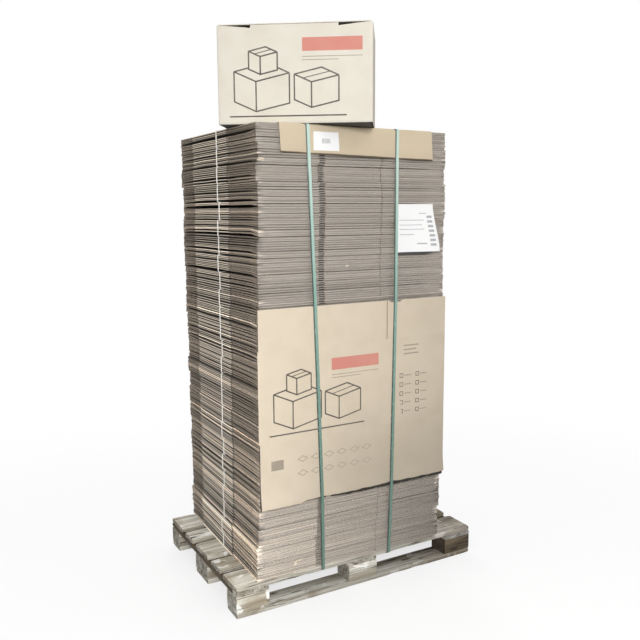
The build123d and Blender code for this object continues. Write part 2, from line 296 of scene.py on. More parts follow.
def add_timber(name, along, tone, chips, seed):
    """One board or block between the corners of its node, its grain along X or Y."""
    low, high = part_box(name)
    size = high - low
    centre = (low + high) / 2
    length, width = (size.x, size.y) if along == "x" else (size.y, size.x)
    rng = np.random.default_rng(seed)
    trims = rng.uniform(0, END_TRIM if length > LONG_TIMBER else BLOCK_TRIM, 2)
    steps = max(6, int(length / RING_STEP))
    stations = np.linspace(-length / 2 + trims[0], length / 2 - trims[1], steps + 1)
    chip_list = [(rng.uniform(-0.5, 0.5) * length, rng.integers(4), rng.uniform(0.4, 1.0) * CHIP_DEPTH,
                  rng.uniform(*CHIP_REACH)) for _ in range(chips)]
    chip_list += [(end * length / 2, corner, rng.uniform(0.1, 0.9) * CHIP_DEPTH, rng.uniform(*END_CHIP_REACH))
                  for end in (-1, 1) for corner in range(4)]
    rings, grains = [], []
    for s in stations:
        cuts = []
        for corner in range(4):
            wobble = noise.noise(Vector((s * 9, corner * 3.7, seed)))
            cut = ARRIS * (1.0 + 0.8 * wobble)
            for place, which, depth, reach in chip_list:
                if which == corner:
                    cut += depth * math.exp(-((s - place) / reach) ** 2)
            cuts.append(cut)
        cup = CUP * noise.noise(Vector((s * 3, 5.1, seed)))
        section = np.array(timber_ring(width / 2, size.z / 2, cuts, cup))
        rough = [SAW_MARK * noise.noise(Vector((s * 40, i * 2.3, seed + 9))) for i in range(len(section))]
        section[:, 0] *= 1 - np.array(rough) / (width / 2)
        ring = np.zeros((len(section), 3))
        ring[:, 0 if along == "x" else 1] = s
        ring[:, 1 if along == "x" else 0] = section[:, 0] if along == "x" else -section[:, 0]
        ring[:, 2] = section[:, 1]
        rings.append(ring + np.array(centre))
        grains.append(np.column_stack([np.full(len(section), s), section]) + seed * 1.7)
    surface = Surface()
    cap_maps = [tuple(p) for p in section]
    spots = np.concatenate(rings)
    shade = tone
    # Cross boards carry painted shade, except at their front ends.
    if along == "y":
        shade = tone * np.where(spots[:, 1] < low.y + CROSS_END, CROSS_END_TONE, CROSS_SHADE)
    elif length > LONG_TIMBER:
        shade = tone * painted_falloff(spots[:, 0])
    add_loft(surface, rings, 0, 1, cap_maps, shade, np.concatenate(grains))
    surface.build(name + "_timber", [side_grain, end_grain], [name])


for seed, name in enumerate(sorted(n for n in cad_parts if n.startswith(TIMBERS))):
    low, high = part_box(name)
    along_x = high.x - low.x > LONG_TIMBER
    tone = 1.0 if along_x else BLOCK_TONES.get(name, painted_falloff((low.x + high.x) / 2))
    tone *= 1 + TONE_SWING * math.sin(seed * 2.7)
    add_timber(name, "y" if name.startswith("cross_board") else "x", tone, 5 if along_x else 2, seed)


# Flat boxes: single-wall corrugated board, slotted, glued into a tube and pressed flat, eight to a bundle.
# Liners are pale kraft. Cut ends show a row of flutes, and cuts along the flutes show channels, with painted
# shade in their hollows.
# Side folds bulge past the flap edges, flap ends spread so that gaps open, and scraps of liner are torn up.
# Painted shade darkens the faces hidden in the gaps, slots and flute hollows; painted highlights light the
# fold ridges.

BOXES_IN_BUNDLE = 8
LAYER_GAP = 0.0002
FLUTE_PITCH = 0.0078
FLUTE_HALF = 0.34
BOTTOM_FLAP = 0.263
TOP_FLAP = 0.163
FOLD_SETBACK = 0.007
JOINT_PLACE = 0.288
JOINT_SLOT = 0.027
TAB_SETBACK = 0.009
TAB_LAP = 0.004
TAB_LIFT = 0.0003
TAB_BOARD = 0.0028
# Painted shade on the glue tab, deep in its slot.
TAB_SHADE = 0.35
SLOT_PLACE = 0.574
STACK_SLOT = 0.005
SPREAD_REACH = 0.14
SINK = 0.0017
FOLD_STRAY = 0.0009
CUT_STRAY = 0.0002
END_STRAY = 0.0008
MAP_STRAY = 0.05
# Painted shade for faces hidden in the gaps, at the sides and towards front and rear, with a lit strip along
# each edge.
GAP_SHADE = 0.14
FRONT_GAP_SHADE = 0.48
GAP_REACH = 0.05
EDGE_LIGHT = 0.0014
SIDE_SOIL = 0.01
# Painted highlight on the fold ridges, stronger higher in the load.
FOLD_HIGHLIGHT = 1.40
REAR_TONE = 0.9
WALL_TONES = (1.13, 0.87)
TUBE_STATIONS = np.array([0.03, 0.09, 0.2, 0.45, 0.7, 0.81, 0.87]) / 0.9
SIDE_STATIONS = np.array([0.0, 0.0086, 0.035, 0.070, 0.105, SPREAD_REACH])
FLAP_STATIONS = np.array([0.0, 0.007, 0.25, 0.6, 1.0])
# Slack: how evenly it is shared, and the least and most of it that is under the bundle.
FRONT_SLACK = (3.0, (0.7, 1.5))
REAR_SLACK = (0.9, (0.3, 0.9))
LEFT_SLACK = (1.3, (1.0, 2.6))
RIGHT_SLACK = (1.1, (0.8, 2.6))
WALL_SLACK = 0.10
# Edges: how thick a wall or a folded box is at even stations along them.
FRONT_EDGE = (0.0036, 0.0037, 0.0037, 0.0037, 0.0038, 0.00455)
REAR_EDGE = (0.00455, 0.0044, 0.0040, 0.0040, 0.0044, 0.00455)
FRONT_LEFT_EDGE = (0.0034, 0.0026, 0.0024, 0.0025)
FRONT_RIGHT_EDGE = (0.00455, 0.0039, 0.0036, 0.0035)
REAR_LEFT_EDGE = (0.00455, 0.0035, 0.0028, 0.0025)
REAR_RIGHT_EDGE = (0.00455, 0.0040, 0.0036, 0.0035)
LEFT_FOLDS = (0.0054, 0.0052, 0.0052, 0.0055)
RIGHT_FOLDS = (0.0067, 0.0064, 0.0064, 0.0067)


def corrugated_paper(name, paper, washboard):
    """Liner paper: fibres, faint flecks, and the flutes showing through as a washboard along the box."""
    material, shader = new_finish(name, 0.82)
    face = put(material, "UVMap", uv_map="face_map").outputs[0]
    fibres = cloudy(material, stretched(material, face, (900.0, 260.0, 1.0)), 1.0, 4.0)
    clouds = cloudy(material, face, 9.0, 3.0)
    colour = blended(material, eased(material, fibres, 0.40, 0.70, 0.0, 0.22), paper, linear(170, 150, 122))
    colour = blended(material, eased(material, clouds, 0.35, 0.75, 0.0, 0.16), colour, linear(186, 168, 142))
    join(material, shaded(material, colour, attribute(material, "shade", "Fac")), shader, "Base Color")
    across = put(material, "SeparateXYZ", {0: face}).outputs[0]
    flutes = sums(material, "SINE", sums(material, "MULTIPLY", across, math.tau / FLUTE_PITCH))
    height = sums(material, "MULTIPLY_ADD", flutes, washboard, fibres)
    roughen(material, shader, height, 0.25, 0.0006)
    return material


def flute_row(material, along, level):
    """How far a point of a cut end lies from the wavy middle paper of its row of flutes."""
    wave = sums(material, "SINE", sums(material, "MULTIPLY", along, math.tau / FLUTE_PITCH))
    line = sums(material, "MULTIPLY_ADD", wave, FLUTE_HALF, 0.5)
    return sums(material, "ABSOLUTE", sums(material, "SUBTRACT", level, line))


def board_cut(name, wavy, liner, medium, hollow):
    """A cut through the board: two liners with a row of flutes between, end on or from the side, with painted
    shade in the hollows.
    """
    material, shader = new_finish(name, 0.9)
    face = put(material, "SeparateXYZ", {0: put(material, "UVMap", uv_map="face_map").outputs[0]})
    along, level = face.outputs[0], face.outputs[1]
    ragged = cloudy(material, put(material, "CombineXYZ", {0: along, 1: level}).outputs[0], 160.0, 3.0)
    level = sums(material, "MULTIPLY_ADD", sums(material, "SUBTRACT", ragged, 0.5), 0.12, level)
    if wavy:
        paper = eased(material, flute_row(material, along, level), 0.08, 0.20, 1.0, 0.0)
    else:
        paper = eased(material, ragged, 0.50, 0.66, 0.0, 0.7)
    # The hollow colour is painted shade in the open flutes and channels.
    colour = blended(material, paper, hollow, medium)
    inner = sums(material, "ABSOLUTE", sums(material, "SUBTRACT", level, 0.5))
    outer = sums(material, "SUBTRACT", 0.5, inner)
    colour = blended(material, eased(material, outer, 0.09, 0.16, 1.0, 0.0), colour, liner)
    join(material, shaded(material, colour, attribute(material, "shade", "Fac")), shader, "Base Color")
    return material


box_liner = corrugated_paper("pale_kraft_liner", linear(222, 211, 195), 0.30)
flute_ends = board_cut("flute_ends", True,
                       linear(232, 224, 214), linear(188, 179, 169), linear(112, 103, 94))
flute_sides = board_cut("flute_sides", False,
                        linear(238, 223, 203), linear(174, 156, 136), linear(82, 69, 56))


def slack_shares(rng, evenness, under):
    """How a bundle's slack is shared: first under it, then between its boxes, last over it."""
    shares = rng.gamma(evenness, 1.0 / evenness, BOXES_IN_BUNDLE + 1)
    shares[0] = rng.uniform(*under)
    shares[-1] *= 0.3
    return shares


def settled(rng, shares, walls, height, thicknesses):
    """Levels of a bundle's boards at stations along an edge. The two walls of a box stay close together."""
    count = BOXES_IN_BUNDLE * walls
    habit = np.full(count + 1, WALL_SLACK)
    habit[::walls] = shares
    levels = []
    for thickness in thicknesses:
        gaps = habit * rng.uniform(0.85, 1.15, count + 1)
        gaps *= (height + SINK - count * thickness) / gaps.sum()
        low = np.cumsum(gaps[:-1]) - SINK + thickness * np.arange(count)
        levels.append(np.column_stack([low, low + thickness]))
    return np.array(levels)


def smooth(t):
    t = np.clip(t, 0, 1)
    return t * t * (3 - 2 * t)


def at_station(levels, share):
    """A level between stations, eased from one to the next."""
    place = np.clip(share, 0, 1) * (len(levels) - 1)
    first = np.minimum(place.astype(int), len(levels) - 2)
    t = smooth(place - first)[..., None]
    return levels[first] * (1 - t) + levels[first + 1] * t


def pulled(levels, edge_levels, share, reach):
    """Levels drawn to those of an edge: wholly where the reach is nought, and not at all from one on."""
    return levels + (at_station(edge_levels, share) - levels) * smooth(1 - reach)[..., None]


def add_slab(surface, xs, ys, low, high, place, finishes, shade, map_shift=0.0, edge_jitter=None):
    """A plate over a grid, from its lower to its upper levels, with finishes for faces, ends and sides."""
    n, m = len(xs), len(ys)
    grid_x, grid_y = np.meshgrid(xs, ys, indexing="ij")
    if edge_jitter is not None:
        grid_y = grid_y + edge_jitter
    lower = np.stack([grid_x, grid_y, low], -1).reshape(-1, 3)
    upper = np.stack([grid_x, grid_y, high], -1).reshape(-1, 3)
    index = np.arange(n * m).reshape(n, m)
    top = index + n * m
    faces, maps, kinds = [], [], []
    for i in range(n - 1):
        u0, u1 = xs[i] + map_shift, xs[i + 1] + map_shift
        for j in range(m - 1):
            corners = [(u0, ys[j]), (u1, ys[j]), (u1, ys[j + 1]), (u0, ys[j + 1])]
            faces.append((top[i, j], top[i + 1, j], top[i + 1, j + 1], top[i, j + 1]))
            faces.append((index[i, j + 1], index[i + 1, j + 1], index[i + 1, j], index[i, j]))
            maps.extend([corners, corners[::-1]])
            kinds.extend([finishes[0]] * 2)
        edge_map = [(u0, 0.0), (u1, 0.0), (u1, 1.0), (u0, 1.0)]
        faces.append((index[i, 0], index[i + 1, 0], top[i + 1, 0], top[i, 0]))
        faces.append((index[i, -1], index[i + 1, -1], top[i + 1, -1], top[i, -1]))
        maps.extend([edge_map, edge_map])
        kinds.extend([finishes[1]] * 2)
    for j in range(m - 1):
        v0, v1 = ys[j] + map_shift, ys[j + 1] + map_shift
        side_map = [(v0, 0.0), (v1, 0.0), (v1, 1.0), (v0, 1.0)]
        faces.append((index[0, j], index[0, j + 1], top[0, j + 1], top[0, j]))
        faces.append((index[-1, j], index[-1, j + 1], top[-1, j + 1], top[-1, j]))
        maps.extend([side_map, side_map])
        kinds.extend([finishes[2]] * 2)
    shades = np.broadcast_to(shade, (2, n, m)).reshape(-1)
    surface.add(place(np.concatenate([lower, upper])), faces, kinds, maps, shades)


def add_folded_tube(surface, width, ys, levels, place, tone):
    """The middle of a flat box: two walls that turn into each other at rounded side folds.

    The tone is asked for places across, a place along, and the lift, from -1 below to 1 above.
    """
    turn = np.radians(np.linspace(-90, 90, 7))
    flat = TUBE_STATIONS * width
    rings, shades = [], []
    turned = np.sin(turn)
    lift = np.concatenate([np.full(len(flat), -1.0), turned, np.full(len(flat), 1.0), turned[::-1]])
    for y in ys:
        low, high = levels(np.concatenate([[0.0], flat, [width]]), y)
        middle, half = (low + high) / 2, (high - low) / 2
        bulge = FOLD_STRAY * noise.noise(Vector((y * 14, low[0] * 900, high[-1] * 700)))
        left = [(FOLD_SETBACK * (1 - math.cos(t)) - bulge, middle[0] + half[0] * math.sin(t)) for t in turn]
        right = [(width - x - bulge, middle[-1] + half[-1] * math.sin(t)) for t, (x, _) in zip(turn, left)]
        under = list(zip(flat, low[1:-1]))
        over = list(zip(flat, high[1:-1]))
        outline = under + right + over[::-1] + left[::-1]
        rings.append(place(np.array([(x, y, z) for x, z in outline])))
        shades.append(tone(np.array(outline)[:, 0], y, lift))
    thickness = high[0] - low[0]
    cap_maps = [(x, (z - low[0]) / thickness) for x, z in outline]
    add_loft(surface, rings, 0, 1, cap_maps, np.concatenate(shades))


def flap_xs(start, end, width):
    """Places across a flap, closer together near the sides of the box."""
    places = np.concatenate([SIDE_STATIONS, width - SIDE_STATIONS, [start, end], np.linspace(start, end, 4)])
    return np.unique(np.round(places[(places >= start) & (places <= end)], 5))


def front_light_and_shade(across, rise):
    """Painted light and shade over the front of the load: a painted pool of light low on the left, painted
    shade low on the right.
    """
    foot = smooth((0.34 - rise) / 0.30)
    return (1.05 + 0.60 * foot) * (1 - across) + (0.98 - 0.36 * foot) * across


def flat_box(surface, size, place, pile, nominal, number, shade, rise, on_top, rng):
    """One flat box: a folded tube in the middle, and four flap walls at each end, parted by slots."""
    width, depth = size
    side_tone = rng.lognormal(-0.04, 0.42 - 0.16 * rise)
    # Painted shade in the gaps, deepest low in the load.
    dark = GAP_SHADE * (0.3 + 0.7 * smooth(rise / 0.5))
    creases = {"front": BOTTOM_FLAP, "rear": depth - TOP_FLAP}
    base, top = nominal
    middle = (base + top) / 2

    def tube_levels(xs, y):
        share = np.full(len(xs), (y - creases["front"]) / (creases["rear"] - creases["front"]))
        both = pulled(np.array([base, top]), pile["left"][:, number], share, xs / SPREAD_REACH)
        both = pulled(both, pile["right"][:, number], share, (width - xs) / SPREAD_REACH)
        return both[:, 0], both[:, 1]

    # Painted highlight on each fold's ridge and painted shade on its faces in the gaps, except the top box's
    # upper face.
    def fold_highlight_and_shade(xs, y, lift):
        outside = (FOLD_HIGHLIGHT + 0.24 * rise) * side_tone
        hidden = dark + (outside - dark) * (1 - lift ** 2) ** (1.8 - 0.5 * rise)
        return shade * np.where((lift > 0) & on_top, 1.0, hidden)

    def add_flap(wall, start, end, side, edge):
        """One wall of a flap, its free end spread as the pile's edges say, with painted shade where it lies
        in a gap.
        """
        row = number * 2 + wall
        xs = flap_xs(start, end, width)
        ys = np.sort(edge + (creases[side] - edge) * FLAP_STATIONS)
        grid_x, grid_y = np.meshgrid(xs, ys, indexing="ij")
        away = (grid_y - edge) / (creases[side] - edge)
        flat = np.array([middle, top] if wall else [base, middle])
        both = pulled(flat, pile[side][:, row], grid_x / width, away)
        both = pulled(both, pile[side + "_left"][:, row], np.sqrt(away), grid_x / SPREAD_REACH)
        both = pulled(both, pile[side + "_right"][:, row], np.sqrt(away), (width - grid_x) / SPREAD_REACH)
        jitter = np.zeros_like(grid_x)
        jitter[:, 0 if edge == 0 else -1] = rng.normal(0, CUT_STRAY, len(xs)) + rng.normal(0, END_STRAY)
        tone = shade * rng.uniform(0.93, 1.07) * WALL_TONES[wall]
        # Painted light and shade over the front flaps.
        tone = tone * (front_light_and_shade(grid_x / width, rise) if side == "front" else REAR_TONE)
        side_way = np.minimum(grid_x, width - grid_x) - FOLD_SETBACK
        tone = tone * (1 + (side_tone * rng.uniform(0.75, 1.3) - 1) * smooth(1 - side_way / SIDE_SOIL))
        edge_way = np.minimum(np.abs(grid_y - edge), np.minimum(grid_x - start, end - grid_x))
        gap_shade = dark + (FRONT_GAP_SHADE - dark) * smooth(side_way / GAP_REACH)
        hidden = tone * (gap_shade + (1 - gap_shade) * smooth(1 - edge_way / EDGE_LIGHT))
        tones = np.stack([hidden, tone if wall and on_top else hidden])
        add_slab(surface, xs, ys, both[..., 0], both[..., 1], place, (0, 1, 2), tones,
                 rng.uniform(0, MAP_STRAY), jitter)

    tube_ys = np.linspace(creases["front"], creases["rear"], 7)
    add_folded_tube(surface, width, tube_ys, tube_levels, place, fold_highlight_and_shade)
    for wall in (0, 1):
        slot_middle, slot_half = (SLOT_PLACE, STACK_SLOT / 2) if wall else (JOINT_PLACE, JOINT_SLOT / 2)
        sides = (FOLD_SETBACK, slot_middle - slot_half), (slot_middle + slot_half, width - FOLD_SETBACK)
        for (start, end), (side, edge) in itertools.product(sides, (("front", 0.0), ("rear", depth))):
            add_flap(wall, start, end, side, edge)
    # The glue tab, set back in the joint slot, in painted shade.
    tab_xs = JOINT_PLACE + np.array([-1, 1]) * (JOINT_SLOT / 2 + TAB_LAP)
    under = at_station(pile["front"][:, number * 2], tab_xs / width)
    level = np.array([under[:, 0], np.full(2, base)]).T + TAB_LIFT
    add_slab(surface, tab_xs, np.array([TAB_SETBACK, creases["front"]]), level, level + TAB_BOARD, place,
             (0, 1, 2), shade * TAB_SHADE)


def lying_frame(ground):
    """Of a turned rectangle seen from above: a corner, the ways along and back, and its length and depth."""
    front_left = ground[np.argmin(ground[:, 0] + ground[:, 1])]
    front_right = ground[np.argmax(ground[:, 0] - ground[:, 1])]
    along = (front_right - front_left) / np.linalg.norm(front_right - front_left)
    back = np.array([-along[1], along[0]])
    corner = along * (ground @ along).min() + back * (ground @ back).min()
    return corner, along, back, (np.ptp(ground @ along), np.ptp(ground @ back))


def cad_points(name):
    return np.array([v.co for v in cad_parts[name].data.vertices])


def lying_boxes(name):
    """Each box of a bundle: size, way to pallet coordinates, base and thickness. Then the bundle's height."""
    points = cad_points(name)
    bottom, height = points[:, 2].min(), np.ptp(points[:, 2])
    pitch = (height + LAYER_GAP) / BOXES_IN_BUNDLE
    lying = []
    for number in range(BOXES_IN_BUNDLE):
        level = points[:, 2] - bottom - number * pitch
        flat = points[(level > -LAYER_GAP / 2) & (level < pitch - LAYER_GAP / 2)][:, :2]
        corner, along, back, size = lying_frame(flat)

        def place(local, corner=corner, along=along, back=back):
            ground = corner + local[:, :1] * along + local[:, 1:2] * back
            return np.column_stack([ground, bottom + local[:, 2]])

        lying.append((size, place, number * pitch, pitch - LAYER_GAP))
    return lying, height


# Each flake: its place along the bundle, its height in it, and how wide and tall it is.
TORN_FLAKES = {"bundle_24": [(0.004, 0.003, 0.030, 0.004), (0.010, 0.010, 0.024, 0.004)],
               "bundle_18": [(0.404, 0.026, 0.010, 0.008)],
               "bundle_01": [(0.172, 0.032, 0.013, 0.019), (0.180, 0.046, 0.034, 0.010)],
               "bundle_04": [(0.878, 0.029, 0.013, 0.012)]}
FLAKE_THICKNESS = 0.0005
FLAKE_OFF = 0.0012
FLAKE_CURL = 0.006
FLAKE_RIPPLE = 0.002
FLAKE_TONE = 1.5


def add_flake(surface, place, x, z, wide, tall):
    """A scrap of liner torn up from a cut edge, curling away from the load."""
    xs, ys = np.linspace(x, x + wide, 5), np.linspace(z, z + tall, 5)
    grid_x, grid_y = np.meshgrid((xs - x) / wide, (ys - z) / tall, indexing="ij")
    off = FLAKE_OFF + FLAKE_CURL * grid_y ** 2 + FLAKE_RIPPLE * np.sin(3 * grid_x + x * 40)

    def on_ends(local):
        return place(np.column_stack([local[:, 0], -local[:, 2], local[:, 1]]))

    add_slab(surface, xs, ys, off, off + FLAKE_THICKNESS, on_ends, (0, 0, 0), FLAKE_TONE)


bundle_names = sorted(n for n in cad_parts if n.startswith("bundle_") and n != "bundle_twine")
for order, name in enumerate(bundle_names):
    rng = np.random.default_rng(order + 40)
    lying, height = lying_boxes(name)
    front = slack_shares(rng, *FRONT_SLACK)
    rear = slack_shares(rng, *REAR_SLACK)
    left = slack_shares(rng, *LEFT_SLACK)
    pile = {}
    for edge, shares, thicknesses in (
            ("front", front, FRONT_EDGE), ("front_left", left, FRONT_LEFT_EDGE),
            ("front_right", front, FRONT_RIGHT_EDGE), ("rear", rear, REAR_EDGE),
            ("rear_left", left, REAR_LEFT_EDGE), ("rear_right", rear, REAR_RIGHT_EDGE)):
        pile[edge] = settled(rng, shares, 2, height, thicknesses)
    for end, (side, last) in itertools.product(("front", "rear"), (("_left", 0), ("_right", -1))):
        pile[end + side][0] = pile[end][last]
    pile["left"] = settled(rng, left, 1, height, LEFT_FOLDS)
    pile["right"] = settled(rng, slack_shares(rng, *RIGHT_SLACK), 1, height, RIGHT_FOLDS)
    bundle = Surface()
    for number, (size, place, base, thickness) in enumerate(lying):
        flat_box(bundle, size, place, pile, (base, base + thickness), number, rng.uniform(0.95, 1.05),
                 order / len(bundle_names), name == bundle_names[-1] and number == BOXES_IN_BUNDLE - 1, rng)
    for x, z, wide, tall in TORN_FLAKES.get(name, ()):
        add_flake(bundle, lying[0][1], x, z, wide, tall)
    bundle.build(name + "_boxes", [box_liner, flute_ends, flute_sides], [name])


# Twine: flat white film, one loop tied tight round the middle of each bundle before it was stacked.
# It pulls straight down over the side folds and turns round the edges, a little off from bundle to bundle.

TWINE_WIDTH = 0.0036
TWINE_THICKNESS = 0.0008
TWINE_BEND = 0.006
TWINE_SWELL = 0.0030
BAND_EDGE = 0.3
ARC_STEP = math.radians(15)

twine_film, shader = new_finish("white_film_twine", 0.5)
strand_places = stretched(twine_film, attribute(twine_film, "grain", "Vector"), (900.0, 30.0, 30.0))
strands = cloudy(twine_film, strand_places, 1.0, 2.0)
film_white = graded(twine_film, strands, [(0.3, linear(226, 224, 217)), (0.6, linear(250, 249, 245))])
join(twine_film, film_white, shader, "Base Color")
roughen(twine_film, shader, strands, 0.4, 0.0004)


def rounded_path(corners, bend):
    """A closed path through corners in one plane, each corner turned as an arc."""
    corners = [np.asarray(c, float) for c in corners]
    path = []
    for k, corner in enumerate(corners):
        before, after = corners[k - 1], corners[(k + 1) % len(corners)]
        into = (corner - before) / np.linalg.norm(corner - before)
        away = (after - corner) / np.linalg.norm(after - corner)
        turn = math.atan2(into[0] * away[1] - into[1] * away[0], into @ away)
        room = min(np.linalg.norm(corner - before), np.linalg.norm(after - corner)) * 0.45
        cut = min(bend * abs(math.tan(turn / 2)), room)
        pieces = max(1, round(abs(turn) / ARC_STEP))
        radius = cut / max(abs(math.tan(turn / 2)), 1e-6)
        side = np.array([-into[1], into[0]]) * math.copysign(1, turn)
        start, centre = corner - into * cut, corner - into * cut + side * radius
        for p in range(pieces + 1):
            angle = turn * p / pieces
            arm = start - centre
            spun = np.array([arm[0] * math.cos(angle) - arm[1] * math.sin(angle),
                             arm[0] * math.sin(angle) + arm[1] * math.cos(angle)])
            path.append(centre + spun)
    return np.array(path)


def add_band(surface, path, to_space, width, thickness, swell=0.0):
    """A flat band round a closed path, with softened edges, swollen by an amount where it runs upright."""
    ahead = np.roll(path, -1, 0) - np.roll(path, 1, 0)
    ahead /= np.linalg.norm(ahead, axis=1)[:, None]
    outward = np.column_stack([ahead[:, 1], -ahead[:, 0]])
    wide, thick, edge = width / 2, thickness / 2, thickness * BAND_EDGE
    section = [(-wide, edge - thick), (edge - wide, -thick), (wide - edge, -thick), (wide, edge - thick),
               (wide, thick - edge), (wide - edge, thick), (edge - wide, thick), (-wide, thick - edge)]
    steps = np.linalg.norm(np.roll(path, -1, 0) - path, axis=1)
    run = np.concatenate([[0], np.cumsum(steps)])
    points, grains = [], []
    for k in range(len(path)):
        for across, out in section:
            proud = swell * abs(ahead[k][1]) if out > 0 else 0.0
            points.append(to_space(path[k] + outward[k] * (out + proud), across))
            grains.append((across, run[k], out))
    around = len(section)
    faces, maps = [], []
    for k in range(len(path)):
        n = (k + 1) % len(path)
        for i in range(around):
            j = (i + 1) % around
            faces.append((k * around + i, k * around + j, n * around + j, n * around + i))
            maps.append([(section[i][0], run[k]), (section[j][0], run[k]),
                         (section[j][0], run[k + 1]), (section[i][0], run[k + 1])])
    surface.add(points, faces, [0] * len(faces), maps, 1.0, grains)


def separate_pieces(name):
    """The points of each separate piece of a node, from the lowest piece up."""
    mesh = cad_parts[name].data
    points = cad_points(name)
    spots = np.unique(points.round(6), axis=0, return_inverse=True)[1].ravel()
    linked = list(range(spots.max() + 1))

    def first_of(spot):
        while linked[spot] != spot:
            spot = linked[spot]
        return spot

    for polygon in mesh.polygons:
        start = first_of(spots[polygon.vertices[0]])
        for index in polygon.vertices:
            linked[first_of(spots[index])] = start
    pieces = {}
    for point, spot in zip(points, spots):
        pieces.setdefault(first_of(spot), []).append(point)
    return sorted((np.array(piece) for piece in pieces.values()), key=lambda piece: piece[:, 2].min())


twine = Surface()
for loop in separate_pieces("bundle_twine"):
    half = TWINE_THICKNESS / 2
    left, right = loop[:, 0].min(), loop[:, 0].max()
    low, high = loop[:, 2].min() + half, loop[:, 2].max() - half
    corners = [(left + half, low), (right - half, low), (right - half, high), (left + half, high)]
    left_y = loop[loop[:, 0] < left + 4 * half][:, 1].mean()
    right_y = loop[loop[:, 0] > right - 4 * half][:, 1].mean()

    def on_bundle(point, across, left=left, left_y=left_y, slope=(right_y - left_y) / (right - left)):
        return (point[0], left_y + slope * (point[0] - left) + across, point[1])

    path = rounded_path(corners, TWINE_BEND)
    add_band(twine, path, on_bundle, TWINE_WIDTH, TWINE_THICKNESS, TWINE_SWELL)
twine.build("bundle_twine_loops", [twine_film], ["bundle_twine"])


# Straps: flat plastic bands, pulled tight over the cover and the upright box and under the deck boards.
# They turn sharply at the edges, lean a little, and have a fine embossed face that shines softly.
# A painted shadow runs down the left edge of each.
# Painted light makes each band paler towards the top.

STRAPS = ("strap_left", "strap_right")
STRAP_WIDTH = 0.0175
STRAP_THICKNESS = 0.0009
STRAP_BEND = 0.007

strap_band, shader = new_finish("embossed_green_band", 0.34)
along_strap = attribute(strap_band, "grain", "Vector")
height_above = put(strap_band, "SeparateXYZ", {0: put(strap_band, "TexCoord").outputs["Object"]}).outputs[2]
worn = cloudy(strap_band, stretched(strap_band, along_strap, (160.0, 8.0, 1.0)), 1.0, 4.0)
# Painted light: the green pales with height above the floor.
green = graded(strap_band, eased(strap_band, height_above, 0.4, 2.1), [
    (0.0, linear(98, 132, 118)), (0.55, linear(142, 178, 166)), (1.0, linear(192, 218, 206)),
])
across_strap = put(strap_band, "SeparateXYZ", {0: along_strap}).outputs[0]
half_share = sums(strap_band, "MULTIPLY", across_strap, 2 / STRAP_WIDTH)
# Painted shadow down the left edge of the band.
left_shadow = eased(strap_band, half_share, -0.6, -0.2, 0.95, 0.0)
green = blended(strap_band, left_shadow, green, linear(84, 94, 90), "MULTIPLY")
pale = blended(strap_band, 0.5, green, linear(205, 224, 214))
rubbed = eased(strap_band, worn, 0.5, 0.75, 0.0, 0.6)
join(strap_band, blended(strap_band, rubbed, green, pale), shader, "Base Color")
weave = stretched(strap_band, along_strap, (420.0, 420.0, 0.0))
emboss = put(strap_band, "TexChecker", {"Vector": weave, "Scale": 1.0})
roughen(strap_band, shader, emboss.outputs[1], 0.18, 0.0003)
shader.inputs["Coat Weight"].default_value = 0.25
shader.inputs["Coat Roughness"].default_value = 0.25


def strap_corners(name):
    """The middle line of a strap: its corners in order round the loop, and its lean from foot to head."""
    points = cad_points(name)
    clusters = []
    for point in points:
        for members in clusters:
            if np.linalg.norm(members[0][1:] - point[1:]) < 5 * STRAP_THICKNESS:
                members.append(point)
                break
        else:
            clusters.append([point])
    centres = []
    for members in clusters:
        spots = np.unique(np.round(members, 5), axis=0)
        centres.append((spots.min(0) + spots.max(0)) / 2)
    centres = np.array(centres)
    hub = centres.mean(0)
    centres = centres[np.argsort(np.arctan2(centres[:, 2] - hub[2], centres[:, 1] - hub[1]))]
    lean = np.polyfit(centres[:, 2], centres[:, 0], 1)
    return centres[:, 1:], lean


def strap_place(name, z):
    """Where the middle of a strap is, from left to right, at a height."""
    lean = strap_corners(name)[1]
    return lean[1] + lean[0] * z


for name in STRAPS:
    corners, lean = strap_corners(name)

    def on_load(point, across, lean=lean):
        return (lean[1] + lean[0] * point[1] + across, point[0], point[1])

    strap = Surface()
    add_band(strap, rounded_path(corners, STRAP_BEND), on_load, STRAP_WIDTH, STRAP_THICKNESS)
    strap.build(name + "_band", [strap_band], [name])


# Top cover: a strip of brown single-wall board folded once over the top front edge, under the straps.
# The straps bite into its fold, so the edge dips there and its front leg bows out between them.
# The inner side of its cut foot hangs lower and is painted near black, as painted shadow under the foot.

COVER_BOARD = 0.003
COVER_BEND = 0.006
COVER_BOW = 0.010
COVER_WAVE = 0.0008
COVER_RAG = 0.0012
PRESS_REACH = 0.05
TOP_LEG_START = 0.055
BITE_DEPTH = 0.005
BITE_REACH = 0.016
BITE_STATIONS = np.array([-28, -20, -13, -8, -3, 3, 8, 13, 20, 28]) * 0.001
INNER_DROP = 0.0075
INNER_FOOT_SHADOW = (0.03, 0.2)

cover_paper = corrugated_paper("brown_kraft_liner", linear(214, 198, 171), 0.2)
cover_cut = board_cut("cover_cut_edge", True,
                      linear(226, 212, 188), linear(196, 178, 150), linear(150, 132, 106))

cover_points = cad_points("top_cover")
cover_start, cover_along, cover_to_rear, (cover_length, cover_leg) = lying_frame(cover_points[:, :2])
cover_head = cover_points[:, 2].max()
run = (cover_points[:, :2] - cover_start) @ cover_along
left_foot = cover_points[run < 0.001][:, 2].min() - cover_head
right_foot = cover_points[run > cover_length - 0.001][:, 2].min() - cover_head
strap_tops = [(strap_place(name, cover_head) - cover_start[0]) / cover_along[0] for name in STRAPS]


